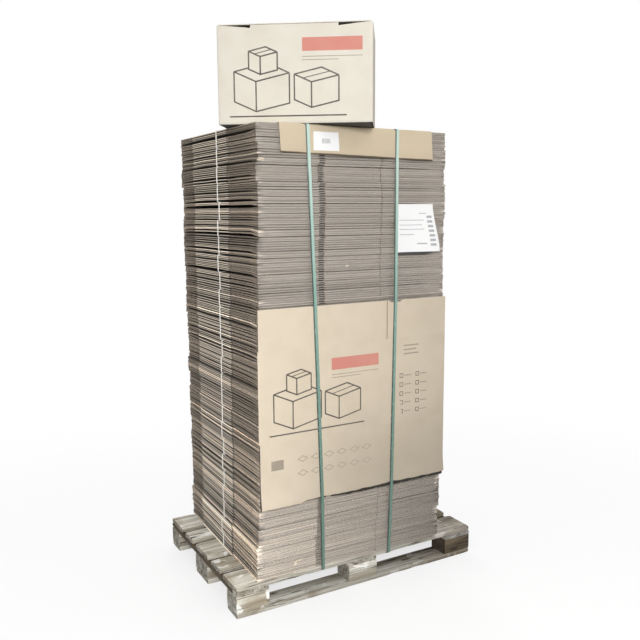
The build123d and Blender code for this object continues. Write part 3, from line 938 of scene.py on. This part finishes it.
def on_top_edge(local):
    """From the cover's own coordinates, from its outer left end and down from its top, to the pallet's."""
    local = np.asarray(local, float)
    spot = cover_start + local[:, :1] * cover_along + local[:, 1:2] * cover_to_rear
    return np.column_stack([spot, cover_head + local[:, 2]])


def cover_lift(x):
    """How far the lower edge of the front leg stands off the load: bowed out between the straps."""
    press = max(math.exp(-((x - middle) / PRESS_REACH) ** 2) for middle in strap_tops)
    return COVER_BOW * (1 - press) + COVER_WAVE * noise.noise(Vector((x * 6, 7.0, 0.0)))


cover_xs = set(np.linspace(0, cover_length, 30).round(4))
for middle in strap_tops:
    cover_xs.update((middle + BITE_STATIONS).round(4))
cover_xs = sorted(cover_xs)
rings = []
for x in cover_xs:
    dip = BITE_DEPTH * sum(math.exp(-((x - middle) / BITE_REACH) ** 2) for middle in strap_tops)
    ragged = COVER_RAG * noise.noise(Vector((x * 18, 2.0, 0.0)))
    foot = left_foot + (right_foot - left_foot) * x / cover_length + ragged
    bend = COVER_BEND + dip
    inner_bend = bend - COVER_BOARD
    outer = [(cover_leg, 0.0), (TOP_LEG_START, -dip * 0.15)]
    inner = [(cover_leg, -COVER_BOARD), (TOP_LEG_START, -COVER_BOARD)]
    for t in np.radians(np.linspace(0, 90, 6)):
        outer.append((bend * (1 - math.sin(t)), -dip * 0.4 - bend * (1 - math.cos(t))))
        inner.append((COVER_BOARD + inner_bend * (1 - math.sin(t)),
                      -dip * 0.4 - COVER_BOARD - inner_bend * (1 - math.cos(t))))
    for part in (0.35, 0.7, 1.0):
        lift = max(0.0, cover_lift(x)) * part
        outer.append((-lift, foot * part))
        inner.append((COVER_BOARD - lift, foot * part - (INNER_DROP if part == 1.0 else 0.0)))
    rings.append(on_top_edge([(x, y, z) for y, z in outer + inner[::-1]]))
cover = Surface()
cap_count = len(rings[0])
half = cap_count // 2
cap_maps = [(i * 0.01, 0.0 if i < half else 1.0) for i in range(cap_count)]
# Painted shadow along the inner foot.
ring_shades = np.ones(cap_count)
ring_shades[half:half + 2] = INNER_FOOT_SHADOW
add_loft(cover, rings, 0, 1, cap_maps, np.tile(ring_shades, len(rings)))
for step in range(len(cover_xs) - 1):
    foot_face = step * cap_count + half - 1
    x0, x1 = cover_xs[step:step + 2]
    cover.finishes[foot_face] = 1
    cover.maps[foot_face] = [(x0, 1.0), (x0, 0.0), (x1, 0.0), (x1, 1.0)]
cover.build("top_cover_strip", [cover_paper, cover_cut], ["top_cover"])


# Upright sheet: one more flat box, stood on its bottom flap ends against the front and held by the straps.
# Its printed wall faces out. The flap ends are ragged below, with the rear wall's foot lower and painted near
# black as shadow, and one corner at the top slot is torn away.

SHEET_BOARD = 0.0042
PANEL_LENGTH = 0.600
SHEET_SETBACK = 0.0025
SHEET_STEP = 0.006
SHEET_WAVE = 0.0008
SIDE_EASE = 0.05
SIDE_SINK = 0.001
FOOT_BULGE = 0.008
FOOT_REACH = 0.05
FOOT_SLOT = 0.0002
HEAD_SLOT = 0.009
FOOT_RAG = 0.0032
HEAD_RAG = 0.0008
FINE_RAG = 0.0010
LEFT_TAIL = 0.006
LEFT_TAIL_END = 0.195
REAR_DROP = 0.006
REAR_DROP_RIGHT = 0.010
REAR_FOOT_SHADOW = 0.06
TORN_PLACE = 0.646
TORN_REACH = 0.026
TORN_DEPTH = 0.019
TORN_LIGHT = 0.011
TORN_TONE = 0.3
SHEET_STATIONS = np.array([0.0, 0.05, 0.1, 0.16, 0.24, 0.36, 0.55, 0.78, 1.0])

sheet_paper = corrugated_paper("printed_kraft_liner", linear(229, 215, 193), 0.22)
sheet_low, sheet_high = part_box("upright_sheet")
sheet_width = sheet_high.x - sheet_low.x
sheet_height = sheet_high.z - sheet_low.z
sheet_depth = sheet_high.y - sheet_low.y
strap_feet = [strap_place(name, sheet_low.z) - sheet_low.x for name in STRAPS]
crease_low, crease_high = BOTTOM_FLAP, sheet_height - TOP_FLAP


def sheet_bulge(x, up):
    """How far the printed wall leaves its plane: a slow wave, and a foot that bulges between the straps."""
    x, up = np.asarray(x, float), np.asarray(up, float)
    slow = np.sin(x * 7.1 + 0.6) * np.sin(up * 5.2 + 0.4)
    free = 1 - sum(np.exp(-((x - middle) / PRESS_REACH) ** 2) for middle in strap_feet)
    return SHEET_WAVE * (slow - 1) + FOOT_BULGE * np.clip(free, 0, 1) * np.exp(-(up / FOOT_REACH) ** 2)


def on_front(local):
    """From box coordinates, with the box's depth upwards and its thickness to the front, to the pallet's."""
    return np.column_stack([sheet_low.x + local[:, 0], sheet_high.y - local[:, 2], sheet_low.z + local[:, 1]])


def sheet_tube_levels(xs, y):
    edge = smooth(np.minimum(xs, sheet_width - xs) / SIDE_EASE)
    high = sheet_depth / 2 + SHEET_BOARD + sheet_bulge(xs, y) * edge - SIDE_SINK * (1 - edge)
    return np.zeros(len(xs)), high


def sheet_tone(xs, up, lift=None):
    """Painted shade: the sheet darkens to the right and towards its foot, on its folds as on its walls."""
    across, foot = np.asarray(xs) / sheet_width, smooth(1 - np.asarray(up) / 0.5)
    return 1.04 - 0.20 * across - 0.24 * foot * smooth(across / 0.55)


sheet = Surface()
tube_ys = np.linspace(crease_low, crease_high, 17)
add_folded_tube(sheet, sheet_width, tube_ys, sheet_tube_levels, on_front, sheet_tone)
flap_ends = ((0.0, crease_low), (sheet_height, crease_high))
for wall, side, (edge, crease) in itertools.product((0, 1), (0, 1), flap_ends):
    slot_middle = PANEL_LENGTH if wall else sheet_width - PANEL_LENGTH
    slot = (FOOT_SLOT if edge == 0 else HEAD_SLOT) if wall else JOINT_SLOT
    start, end = SHEET_SETBACK, slot_middle - slot / 2
    if side:
        start, end = slot_middle + slot / 2, sheet_width - SHEET_SETBACK
    xs = np.linspace(start, end, int((end - start) / SHEET_STEP))
    ys = np.sort(edge + (crease - edge) * SHEET_STATIONS)
    grid_x, grid_y = np.meshgrid(xs, ys, indexing="ij")
    # Painted shade over the sheet's walls.
    tone = sheet_tone(grid_x, grid_y)
    ragged = np.array([noise.noise(Vector((x * 26, edge * 5, wall * 3.0))) for x in xs])
    fine = np.array([noise.noise(Vector((x * 110, edge * 5, wall * 3.0))) for x in xs])
    if edge == 0:
        end_shift = FOOT_RAG * ragged + FINE_RAG * fine - LEFT_TAIL * smooth((LEFT_TAIL_END - xs) / 0.02)
        # Painted shadow: the rear wall's foot hangs lower and is painted near black.
        if not wall:
            end_shift -= REAR_DROP + REAR_DROP_RIGHT * smooth((xs - 0.25) / 0.2)
            tone *= REAR_FOOT_SHADOW
    else:
        torn = np.exp(-((xs - TORN_PLACE) / TORN_REACH) ** 4)
        end_shift = HEAD_RAG * ragged + FINE_RAG * fine - TORN_DEPTH * torn * (1 + 0.3 * fine)
        tone[:, -1] += TORN_TONE * np.exp(-((xs - TORN_PLACE - TORN_REACH) / TORN_LIGHT) ** 2)
    jitter = np.zeros_like(grid_x)
    jitter[:, 0 if edge == 0 else -1] = end_shift
    low = np.full_like(grid_x, wall * sheet_depth / 2) + wall * sheet_bulge(grid_x, grid_y)
    add_slab(sheet, xs, ys, low, low + SHEET_BOARD, on_front, (0, 1, 2), tone, 0.0, jitter)
sheet.build("upright_sheet_box", [sheet_paper, flute_ends, flute_sides], ["upright_sheet"])


# Printing: inks pressed onto the liner, a dark grey line drawing, a pale red bar and light grey marks.
# The sheet and the carton are boxes of one make, so both carry the same drawing at the same size.

INK_FILM = 0.00012
INK_STEP = 0.012
LINE = 0.0055
THIN_LINE = 0.0028
TICK = 0.016


def ink(name, colour, cover_share):
    """Printing ink on rough paper: the colour breaks up where the fibres stand proud."""
    material, shader = new_finish(name, 0.75)
    place = put(material, "TexCoord").outputs["Object"]
    grainy = cloudy(material, place, 900.0, 2.0)
    faded = cloudy(material, place, 11.0, 2.0)
    worn = sums(material, "MULTIPLY_ADD", faded, 0.5, grainy)
    bare = eased(material, worn, 0.70, 1.05, 0.0, 1.0 - cover_share)
    join(material, blended(material, bare, colour, linear(222, 208, 186)), shader, "Base Color")
    return material


grey_ink = ink("dark_grey_ink", linear(86, 80, 74), 0.7)
red_ink = ink("pale_red_ink", linear(212, 138, 124), 0.75)
light_ink = ink("light_grey_ink", linear(166, 154, 138), 0.6)


def stroke(points, width, closed=False):
    """The outline quads of a line of even width, with mitred turns."""
    points = np.asarray(points, float)
    dense = []
    count = len(points) if closed else len(points) - 1
    for k in range(count):
        a, b = points[k], points[(k + 1) % len(points)]
        parts = max(1, int(np.linalg.norm(b - a) / INK_STEP))
        dense.extend(a + (b - a) * p / parts for p in range(parts))
    if not closed:
        dense.append(points[-1])
    dense = np.array(dense)
    total = len(dense)
    offsets = []
    for k in range(total):
        before = dense[k - 1] if closed or k else dense[0] * 2 - dense[1]
        after = dense[(k + 1) % total] if closed or k < total - 1 else dense[-1] * 2 - dense[-2]
        into = (dense[k] - before) / np.linalg.norm(dense[k] - before)
        away = (after - dense[k]) / np.linalg.norm(after - dense[k])
        normal = np.array([-into[1] - away[1], into[0] + away[0]])
        normal /= np.linalg.norm(normal)
        offsets.append(normal * width / 2 / max(0.4, normal @ np.array([-into[1], into[0]])))
    offsets = np.array(offsets)
    quads = []
    for k in range(total if closed else total - 1):
        n = (k + 1) % total
        quads.append([dense[k] - offsets[k], dense[n] - offsets[n],
                      dense[n] + offsets[n], dense[k] + offsets[k]])
    return quads


def field(x0, y0, x1, y1):
    """A filled rectangle, cut into small quads so that it follows the panel."""
    xs = np.linspace(x0, x1, max(2, int((x1 - x0) / INK_STEP) + 1))
    ys = np.linspace(y0, y1, max(2, int((y1 - y0) / INK_STEP) + 1))
    return [[(xs[i], ys[j]), (xs[i + 1], ys[j]), (xs[i + 1], ys[j + 1]), (xs[i], ys[j + 1])]
            for i in range(len(xs) - 1) for j in range(len(ys) - 1)]


def box_drawing(x, y, wide, deep, tall, width, covered=None):
    """A box in outline, seen from above one corner, with its lid seam or with another box standing on it."""
    slant = 0.45
    near = np.array([x, y])
    right = near + np.array([wide, wide * slant * 0.5])
    left = near + np.array([-deep, deep * slant])
    up = np.array([0.0, tall])
    far = right + left - near
    lines = stroke([left + up, left, near, right, right + up], width)
    lines += stroke([near, near + up], width)
    lines += stroke([left + up, near + up, right + up], width)
    if covered:
        left_share = (covered[0] - left[0]) / (far[0] - left[0])
        right_share = (covered[1] - right[0]) / (far[0] - right[0])
        lines += stroke([left + up, left + up + (far - left) * left_share], width)
        return lines + stroke([right + up, right + up + (far - right) * right_share], width)
    lines += stroke([left + up, far + up, right + up], width)
    return lines + stroke([(left + near) / 2 + up, (far + right) / 2 + up], width * 0.6)


def panel_print():
    """The drawing on a 600 mm panel, from its lower left corner: stacked boxes, a red bar and two rules."""
    grey = box_drawing(0.150, 0.048, 0.130, 0.085, 0.112, LINE, (0.123, 0.234))
    grey += box_drawing(0.168, 0.186, 0.066, 0.045, 0.066, LINE)
    grey += box_drawing(0.365, 0.060, 0.105, 0.066, 0.094, LINE)
    grey += stroke([(0.045, 0.030), (0.500, 0.030)], LINE)
    red = field(0.330, 0.268, 0.560, 0.318)
    light = stroke([(0.330, 0.248), (0.560, 0.248)], THIN_LINE)
    light += stroke([(0.330, 0.236), (0.470, 0.236)], THIN_LINE)
    return grey, red, light


def add_ink(surface, quads, finish, to_space):
    """Ink as thin films that sit on the paper, each quad a shallow block."""
    for quad in quads:
        flat = np.asarray(quad, float)
        points = np.vstack([np.column_stack([flat, np.full(4, level)]) for level in (-INK_FILM, INK_FILM)])
        faces = [(4, 5, 6, 7), (3, 2, 1, 0)] + [(i, (i + 1) % 4, (i + 1) % 4 + 4, i + 4) for i in range(4)]
        maps = [[tuple(flat[i % 4]) for i in face] for face in faces]
        surface.add(to_space(points), faces, [finish] * len(faces), maps)


def on_sheet_face(local):
    """From the sheet's printed face, with ink thickness outwards, to the pallet's coordinates."""
    x, up = local[:, 0], local[:, 1]
    face = sheet_low.y + sheet_depth / 2 - SHEET_BOARD - sheet_bulge(x, up)
    return np.column_stack([sheet_low.x + x, face - local[:, 2], sheet_low.z + up])


def raised(quads, up):
    return [[(x, y + up) for x, y in quad] for quad in quads]


sheet_print = Surface()
for finish, quads in enumerate(panel_print()):
    add_ink(sheet_print, raised(quads, BOTTOM_FLAP), finish, on_sheet_face)
tick_boxes, tick_lines = [], []
for row, column in itertools.product(range(5), range(2)):
    x, y = 0.672 + column * 0.085, 0.300 + row * 0.040
    square = [(x, y), (x + TICK, y), (x + TICK, y + TICK), (x, y + TICK)]
    tick_boxes += stroke(square, THIN_LINE, True)
    tick_lines += field(x + 0.024, y + 0.005, x + 0.058, y + 0.010)
for line in range(3):
    tick_lines += field(0.690, 0.560 + line * 0.018, 0.770 - 0.014 * (line % 2), 0.566 + line * 0.018)
add_ink(sheet_print, tick_boxes, 0, on_sheet_face)
add_ink(sheet_print, tick_lines, 2, on_sheet_face)
flap_marks = field(0.050, 0.150, 0.105, 0.190)
for column, y in itertools.product(range(6), (0.120, 0.180)):
    x = 0.170 + column * 0.062
    diamond = [(x, y), (x + 0.022, y - 0.012), (x + 0.044, y), (x + 0.022, y + 0.012)]
    flap_marks += stroke(diamond, THIN_LINE, True)
add_ink(sheet_print, flap_marks, 2, on_sheet_face)
sheet_print.build("upright_sheet_print", [grey_ink, red_ink, light_ink])


# Papers: a white label stuck to the cover, and a delivery note tucked behind the right strap.
# The note hangs free on the right, so its edge curls away from the load. Both carry only plain grey bars.
# Behind the note, a back sheet painted near black as the note's shadow hangs a little below its foot.

PAPER = 0.0004
LABEL_STANDOFF = 0.0004
LABEL_CURL = 0.0008
NOTE_CURL = 0.018
NOTE_RIPPLE = 0.0015
NOTE_TUCK = 0.015
NOTE_STANDOFF = 0.0008
NOTE_STRIPS = 8
BACK_DROP = 0.058
BACK_SHADE = 0.05

white_paper, shader = new_finish("white_paper", 0.7)
pulp = cloudy(white_paper, put(white_paper, "TexCoord").outputs["Object"], 600.0, 3.0)
sheet_white = graded(white_paper, pulp, [(0.3, linear(244, 244, 243)), (0.7, linear(254, 254, 254))])
paper_shade = attribute(white_paper, "shade", "Fac")
join(white_paper, shaded(white_paper, sheet_white, paper_shade), shader, "Base Color")
roughen(white_paper, shader, pulp, 0.1, 0.0002)
faint_ink = ink("faint_grey_ink", linear(176, 178, 182), 0.8)

label_points = cad_points("address_label")
label_run = (label_points[:, :2] - cover_start) @ cover_along
label_left, label_width = label_run.min(), np.ptp(label_run)
label_foot, label_height = label_points[:, 2].min() - cover_head, np.ptp(label_points[:, 2])


def on_label(local):
    """From the label's lower left corner, with its thickness outwards, to the bowed front of the cover."""
    x, z = label_left + local[:, 0], label_foot + local[:, 1]
    lift = np.array([max(0.0, cover_lift(value)) for value in x]) * np.clip(z / left_foot, 0, 1)
    return on_top_edge(np.column_stack([x, -lift - PAPER - LABEL_STANDOFF - local[:, 2], z]))


label = Surface()
xs, ys = np.linspace(0, label_width, 9), np.linspace(0, label_height, 7)
grid_x, grid_y = np.meshgrid(xs, ys, indexing="ij")
lift = LABEL_CURL * (np.abs(grid_x / label_width - 0.5) * 2) ** 6
add_slab(label, xs, ys, np.full_like(grid_x, -PAPER), lift, on_label, (0, 0, 0), 1.0)
bars = []
for bar in range(7):
    bars += field(0.036 + bar * 0.0055, 0.028, 0.039 + bar * 0.0055, 0.046)
add_ink(label, bars, 1, lambda local: on_label(local + np.array([0, 0, PAPER])))
label.build("address_label_paper", [white_paper, faint_ink], ["address_label"])

note_low, note_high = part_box("delivery_note")
note_points = cad_points("delivery_note")
note_height = note_high.z - note_low.z
note_foot = note_high.x - note_low.x
note_top = note_points[note_points[:, 2] > note_high.z - 0.001][:, 0].max() - note_low.x


def on_note(local):
    """From a flat note, 1 by 1 in its own shares, to its hung and curled place."""
    u, v = local[:, 0], local[:, 1]
    width = note_foot + (note_top - note_foot) * smooth(v)
    curl = NOTE_CURL * smooth((u - 0.25) / 0.75) * (0.55 + 0.45 * np.cos(v * 2.2))
    ripple = NOTE_RIPPLE * np.sin(v * 5 + u * 3) * u
    out = NOTE_STANDOFF + curl + ripple + local[:, 2]
    across = NOTE_TUCK + u * (width - NOTE_TUCK)
    return np.column_stack([note_low.x + across, note_low.y - out, note_low.z + v * note_height])


def strips(x0, y0, x1, y1):
    """A bar of the note, cut into upright strips so that it follows the curl."""
    xs = [x0 + (x1 - x0) * p / NOTE_STRIPS for p in range(NOTE_STRIPS + 1)]
    return [[(a, y0), (b, y0), (b, y1), (a, y1)] for a, b in zip(xs, xs[1:])]


note = Surface()
shares = np.linspace(0, 1, 19)
face = np.zeros((len(shares), len(shares)))
add_slab(note, shares, shares, face - PAPER, face, on_note, (0, 0, 0), 1.0)
# Painted shadow: a near-black back sheet below the note's foot.
back_us, back_vs = np.linspace(0.03, 0.88, 15), np.linspace(0.0, 0.3, 4)
back_face = np.full((len(back_us), len(back_vs)), -2 * PAPER)
drop = np.zeros_like(back_face)
drop[:, 0] = -BACK_DROP * smooth((0.92 - back_us) / 0.3)
add_slab(note, back_us, back_vs, back_face - PAPER, back_face, on_note, (0, 0, 0), BACK_SHADE, 0.0, drop)
note_bars = []
for bar in ((0.62, 0.80, 0.80, 0.815), (0.10, 0.66, 0.72, 0.673), (0.10, 0.56, 0.66, 0.573),
            (0.10, 0.47, 0.70, 0.483), (0.10, 0.36, 0.44, 0.373), (0.50, 0.16, 0.72, 0.185)):
    note_bars += strips(*bar)
for row in range(7):
    y = 0.12 + row * 0.098
    note_bars += strips(0.80, y, 0.93, y + 0.05)
add_ink(note, note_bars, 1, on_note)
note.build("delivery_note_paper", [white_paper, faint_ink], ["delivery_note"])


# Carton: one box set up and closed, standing turned on the load. Its walls are one tube of white-lined board.
# The front top flap laps the rear one, and two slits at the front fold gape where the flap's tabs are hooked.

CARTON_BOARD = 0.0044
CORNER_BEND = 0.006
SLIT_END = 0.026
SLIT_LENGTH = 0.105
SLIT_HEIGHT = 0.011
WALL_BOW = 0.0022
RIM = 0.004
RIM_LEAN = 0.0012
FLAP_ROUND = 0.004
FLAP_SAG = 0.0006
FLAP_PROUD = 0.0005
LAP_START = 0.004
BASE_FRONT_INSET = 0.0008
BASE_REAR_INSET = 0.001
# Painted shade: the tube's outer foot a little darker, its inside near black.
CARTON_FOOT_SHADE = 0.85
INSIDE_SHADE = 0.12
WALL_LEVELS = (0.012, 0.06, 0.13, 0.2, 0.27, 0.33)
# Places along the front, right, rear and left walls, closest at the blunt ends of the slits.
WALL_STATIONS = (
    (0.026, 0.06, 0.1, 0.1305, 0.1315, 0.18, 0.25, 0.30, 0.35, 0.42, 0.4685, 0.4695, 0.5, 0.54, 0.574),
    np.linspace(0.03, 0.286, 9), np.linspace(0.57, 0.03, 12), np.linspace(0.286, 0.03, 9),
)
WALL_NORMALS = ((0, -1), (1, 0), (0, 1), (-1, 0))

carton_paper = corrugated_paper("white_lined_board", linear(230, 225, 212), 0.12)

carton_points = cad_points("carton")
carton_base, carton_head = carton_points[:, 2].min(), carton_points[:, 2].max()
carton_start, along_front, to_rear, (carton_length, carton_depth) = lying_frame(carton_points[:, :2])
carton_height = carton_head - carton_base


def on_load_top(local):
    """From the carton's own coordinates, from its front lower left corner, to the pallet's."""
    spot = carton_start + local[:, :1] * along_front + local[:, 1:2] * to_rear
    return np.column_stack([spot, carton_base + local[:, 2]])


def carton_outline(inset):
    """The tube seen from above, anticlockwise from the front left, with rounded folds: x, y and the wall."""
    bend = max(CORNER_BEND - inset, 0.001)
    right, rear = carton_length - inset, carton_depth - inset
    outline = []
    for wall, (x, y) in enumerate(((inset, inset), (right, inset), (right, rear), (inset, rear))):
        centre_x = x + bend if wall in (0, 3) else x - bend
        centre_y = y + bend if wall in (0, 1) else y - bend
        for angle in np.radians(180 + 90 * wall + np.linspace(0, 90, 5)):
            outline.append((centre_x + bend * math.cos(angle), centre_y + bend * math.sin(angle), wall))
        for value in WALL_STATIONS[wall]:
            outline.append((value, y, wall) if wall in (0, 2) else (x, value, wall))
    return outline


def slit_gape(x):
    """The opening of the two slits along the front fold: none at the outer ends, widest and blunt within."""
    for start, way in ((SLIT_END, 1), (carton_length - SLIT_END, -1)):
        share = (x - start) * way / SLIT_LENGTH
        if 0 <= share <= 1:
            return SLIT_HEIGHT * share
    return 0.0


def wall_bow(run, rise):
    """How far a wall stands out, at shares of its run and of the carton's height."""
    return WALL_BOW * np.sin(np.pi * np.clip(rise, 0, 1)) * np.sin(np.pi * np.clip(run, 0, 1))


carton = Surface()
tube_top = carton_height - 2 * CARTON_BOARD
levels = [CARTON_BOARD * 0.4, *WALL_LEVELS, tube_top - 2 * RIM, tube_top]
outer_ring, inner_ring = carton_outline(0.0), carton_outline(CARTON_BOARD)
around = len(outer_ring)
points, faces, maps = [], [], []
for ring, outside in ((outer_ring, True), (inner_ring, False)):
    for level, (x, y, wall) in itertools.product(levels, ring):
        out = wall_bow(x / carton_length if wall in (0, 2) else y / carton_depth, level / carton_height)
        gape = slit_gape(x) if wall == 0 else 0.0
        z = level
        if level == levels[-1]:
            z = tube_top + RIM - gape
            out -= RIM_LEAN if outside else 0.0
        elif level == levels[-2]:
            z = tube_top - RIM - gape
        points.append((x + WALL_NORMALS[wall][0] * out, y + WALL_NORMALS[wall][1] * out, z))
per_skin = len(levels) * around
way = [x + y for x, y, _ in outer_ring]
for skin, row, i in itertools.product((0, 1), range(len(levels) - 1), range(around)):
    j = (i + 1) % around
    low = skin * per_skin + row * around
    high = low + around
    faces.append((low + i, low + j, high + j, high + i))
    maps.append([(way[i], levels[row]), (way[j], levels[row]),
                 (way[j], levels[row + 1]), (way[i], levels[row + 1])])
finishes = [0] * len(faces)
for outer, i in itertools.product((0, per_skin - around), range(around)):
    j = (i + 1) % around
    inner = per_skin + outer
    faces.append((outer + i, outer + j, inner + j, inner + i))
    maps.append([(way[i], 0.0), (way[j], 0.0), (way[j], 1.0), (way[i], 1.0)])
    finishes.append(1)
# Painted shade at the tube's foot and on its inner skin.
tube_shades = np.ones((2, len(levels), around))
tube_shades[0, 0] = CARTON_FOOT_SHADE
tube_shades[1] = INSIDE_SHADE
carton.add(on_load_top(np.array(points)), faces, finishes, maps, tube_shades.ravel())

plate_xs = np.linspace(FOLD_SETBACK, carton_length - FOLD_SETBACK, 25)


def add_carton_plate(y0, y1, low, high, sag, front_round=0.0, under=1.0, front=1.0):
    """A flap, or the bottom flaps as one, level but for a slight sag, with painted shade underneath and where
    it is tucked away.
    """
    ys = np.linspace(y0, y1, 10)
    if front_round:
        ys = np.sort(np.concatenate([[y0 + front_round * f for f in (0.15, 0.4, 0.75, 1.0)], ys]))
    grid_x, grid_y = np.meshgrid(plate_xs, ys, indexing="ij")
    bend = -sag * np.sin(np.pi * grid_x / carton_length) * np.sin(np.pi * (grid_y - y0) / (y1 - y0))
    drop = np.zeros_like(grid_x)
    if front_round:
        short = np.clip(1 - (grid_y - y0) / front_round, 0, 1)
        drop = front_round * (1 - np.sqrt(1 - short ** 2))
    tucked = front + (1 - front) * smooth((grid_y - y0) / 0.05)
    add_slab(carton, plate_xs, ys, low + bend, high + bend - drop, on_load_top, (0, 1, 2),
             np.stack([np.full_like(grid_x, under), tucked]))


# Painted shade under the base and the flaps, and at the front of the lap in the slits.
base_rear = carton_depth - BASE_REAR_INSET
lap_low = carton_height - CARTON_BOARD
add_carton_plate(BASE_FRONT_INSET, base_rear, 0.0, CARTON_BOARD, 0.0, under=0.05)
add_carton_plate(LAP_START, carton_depth - FLAP_PROUD, tube_top, lap_low, 0.0, under=0.1, front=0.08)
add_carton_plate(-FLAP_PROUD, TOP_FLAP, lap_low, carton_height, FLAP_SAG, FLAP_ROUND, under=0.1)
carton.build("carton_box", [carton_paper, flute_ends, flute_sides], ["carton"])


def on_carton_front(local):
    """From the carton's front panel, with ink thickness outwards, to the pallet's coordinates."""
    x, up = local[:, 0], local[:, 1]
    bow = wall_bow(x / carton_length, up / carton_height)
    return on_load_top(np.column_stack([x, -bow - local[:, 2], up]))


carton_print = Surface()
for finish, quads in enumerate(panel_print()):
    add_ink(carton_print, quads, finish, on_carton_front)
carton_print.build("carton_print", [grey_ink, red_ink, light_ink])


# Studio: a white floor that keeps a soft shadow, and four soft lamps, front left, behind, right and low.
# The camera stands to the front left, a little under the load's top, as the photograph was taken.

FLOOR_REACH = 60.0
FLOOR_GLOW = 0.7
FADE_START = 1.4
FADE_END = 3.2
SKY_FILL = 1.0
LOW_FILL = 0.12
CAMERA_PLACE = Vector((-1.6586, -2.9729, 1.6153))
AZIMUTH = math.radians(29.39)
PITCH = math.radians(8.29)
ROLL = math.radians(-0.36)
FOCAL_LENGTH = 41.59
SENSOR_WIDTH = 36.0


def looked_at(material):
    """One where a surface is seen straight, mirrored or through glass, nought where it only gives light."""
    path = put(material, "LightPath").outputs
    mirrored = sums(material, "MAXIMUM", path["Is Glossy Ray"], path["Is Transmission Ray"])
    return sums(material, "MAXIMUM", path["Is Camera Ray"], mirrored)


floor_finish, shader = new_finish("white_floor", 0.9)
seen = looked_at(floor_finish)
floor_white = blended(floor_finish, seen, (0.30, 0.29, 0.28, 1.0), (0.95, 0.95, 0.95, 1.0))
join(floor_finish, floor_white, shader, "Base Color")
glow = put(floor_finish, "Emission", {"Color": (1.0, 1.0, 1.0, 1.0), "Strength": 1.0}).outputs[0]
glow_share = sums(floor_finish, "MULTIPLY", seen, FLOOR_GLOW)
lit = put(floor_finish, "MixShader", {0: glow_share, 1: shader.outputs[0], 2: glow}).outputs[0]
spot = put(floor_finish, "NewGeometry").outputs["Position"]
away = put(floor_finish, "VectorMath", {0: spot}, operation="LENGTH").outputs[1]
clear_share = sums(floor_finish, "MULTIPLY", seen, eased(floor_finish, away, FADE_START, FADE_END))
clear = put(floor_finish, "BsdfTransparent").outputs[0]
faded = put(floor_finish, "MixShader", {0: clear_share, 1: lit, 2: clear}).outputs[0]
join(floor_finish, faded, floor_finish.node_tree.nodes["Material Output"], "Surface")
floor_mesh = bpy.data.meshes.new("studio_floor")
floor_mesh.from_pydata([(-FLOOR_REACH, -FLOOR_REACH, 0), (FLOOR_REACH, -FLOOR_REACH, 0),
                        (FLOOR_REACH, FLOOR_REACH, 0), (-FLOOR_REACH, FLOOR_REACH, 0)], [], [(0, 1, 2, 3)])
floor_mesh.materials.append(floor_finish)
floor = bpy.data.objects.new("studio_floor", floor_mesh)
bpy.context.scene.collection.objects.link(floor)

world = bpy.data.worlds.new("studio_light")
bpy.context.scene.world = world
world.use_nodes = True
backdrop = world.node_tree.nodes["Background"]
backdrop.inputs["Color"].default_value = (1.0, 1.0, 1.0, 1.0)
rise = put(world, "SeparateXYZ", {0: put(world, "TexCoord").outputs["Generated"]}).outputs[2]
fill = eased(world, rise, 0.1, 1.0, LOW_FILL, SKY_FILL)
strength = put(world, "Mix", {0: looked_at(world), 2: fill, 3: 1.0}, data_type="FLOAT").outputs[0]
join(world, strength, backdrop, "Strength")


def add_lamp(name, place, target, size, power):
    lamp = bpy.data.lights.new(name, "AREA")
    lamp.size = size
    lamp.energy = power
    holder = bpy.data.objects.new(name, lamp)
    holder.location = place
    holder.rotation_euler = (Vector(target) - Vector(place)).to_track_quat("-Z", "Y").to_euler()
    bpy.context.scene.collection.objects.link(holder)


add_lamp("key_lamp", (-2.2, -4.3, 2.5), (0.0, -0.2, 1.1), 0.8, 130.0)
add_lamp("back_lamp", (1.2, 4.6, 3.2), (0.0, 0.2, 1.0), 2.0, 60.0)
add_lamp("right_lamp", (2.4, -4.6, 3.0), (0.0, -0.2, 1.1), 1.6, 22.0)
add_lamp("low_lamp", (-1.9, -2.2, 0.5), (0.0, -0.2, 0.7), 1.0, 5.0)

forward = Vector((math.sin(AZIMUTH) * math.cos(PITCH), math.cos(AZIMUTH) * math.cos(PITCH), -math.sin(PITCH)))
level_right = Vector((math.cos(AZIMUTH), -math.sin(AZIMUTH), 0.0))
level_up = level_right.cross(forward)
right = level_right * math.cos(ROLL) + level_up * math.sin(ROLL)
up = right.cross(forward)
camera_data = bpy.data.cameras.new("camera")
camera_data.sensor_width = SENSOR_WIDTH
camera_data.lens = FOCAL_LENGTH
camera = bpy.data.objects.new("camera", camera_data)
turn = Matrix((right, up, -forward)).transposed().to_4x4()
camera.matrix_world = Matrix.Translation(CAMERA_PLACE) @ turn
bpy.context.scene.collection.objects.link(camera)
bpy.context.scene.camera = camera
bpy.context.scene.view_settings.view_transform = "Standard"
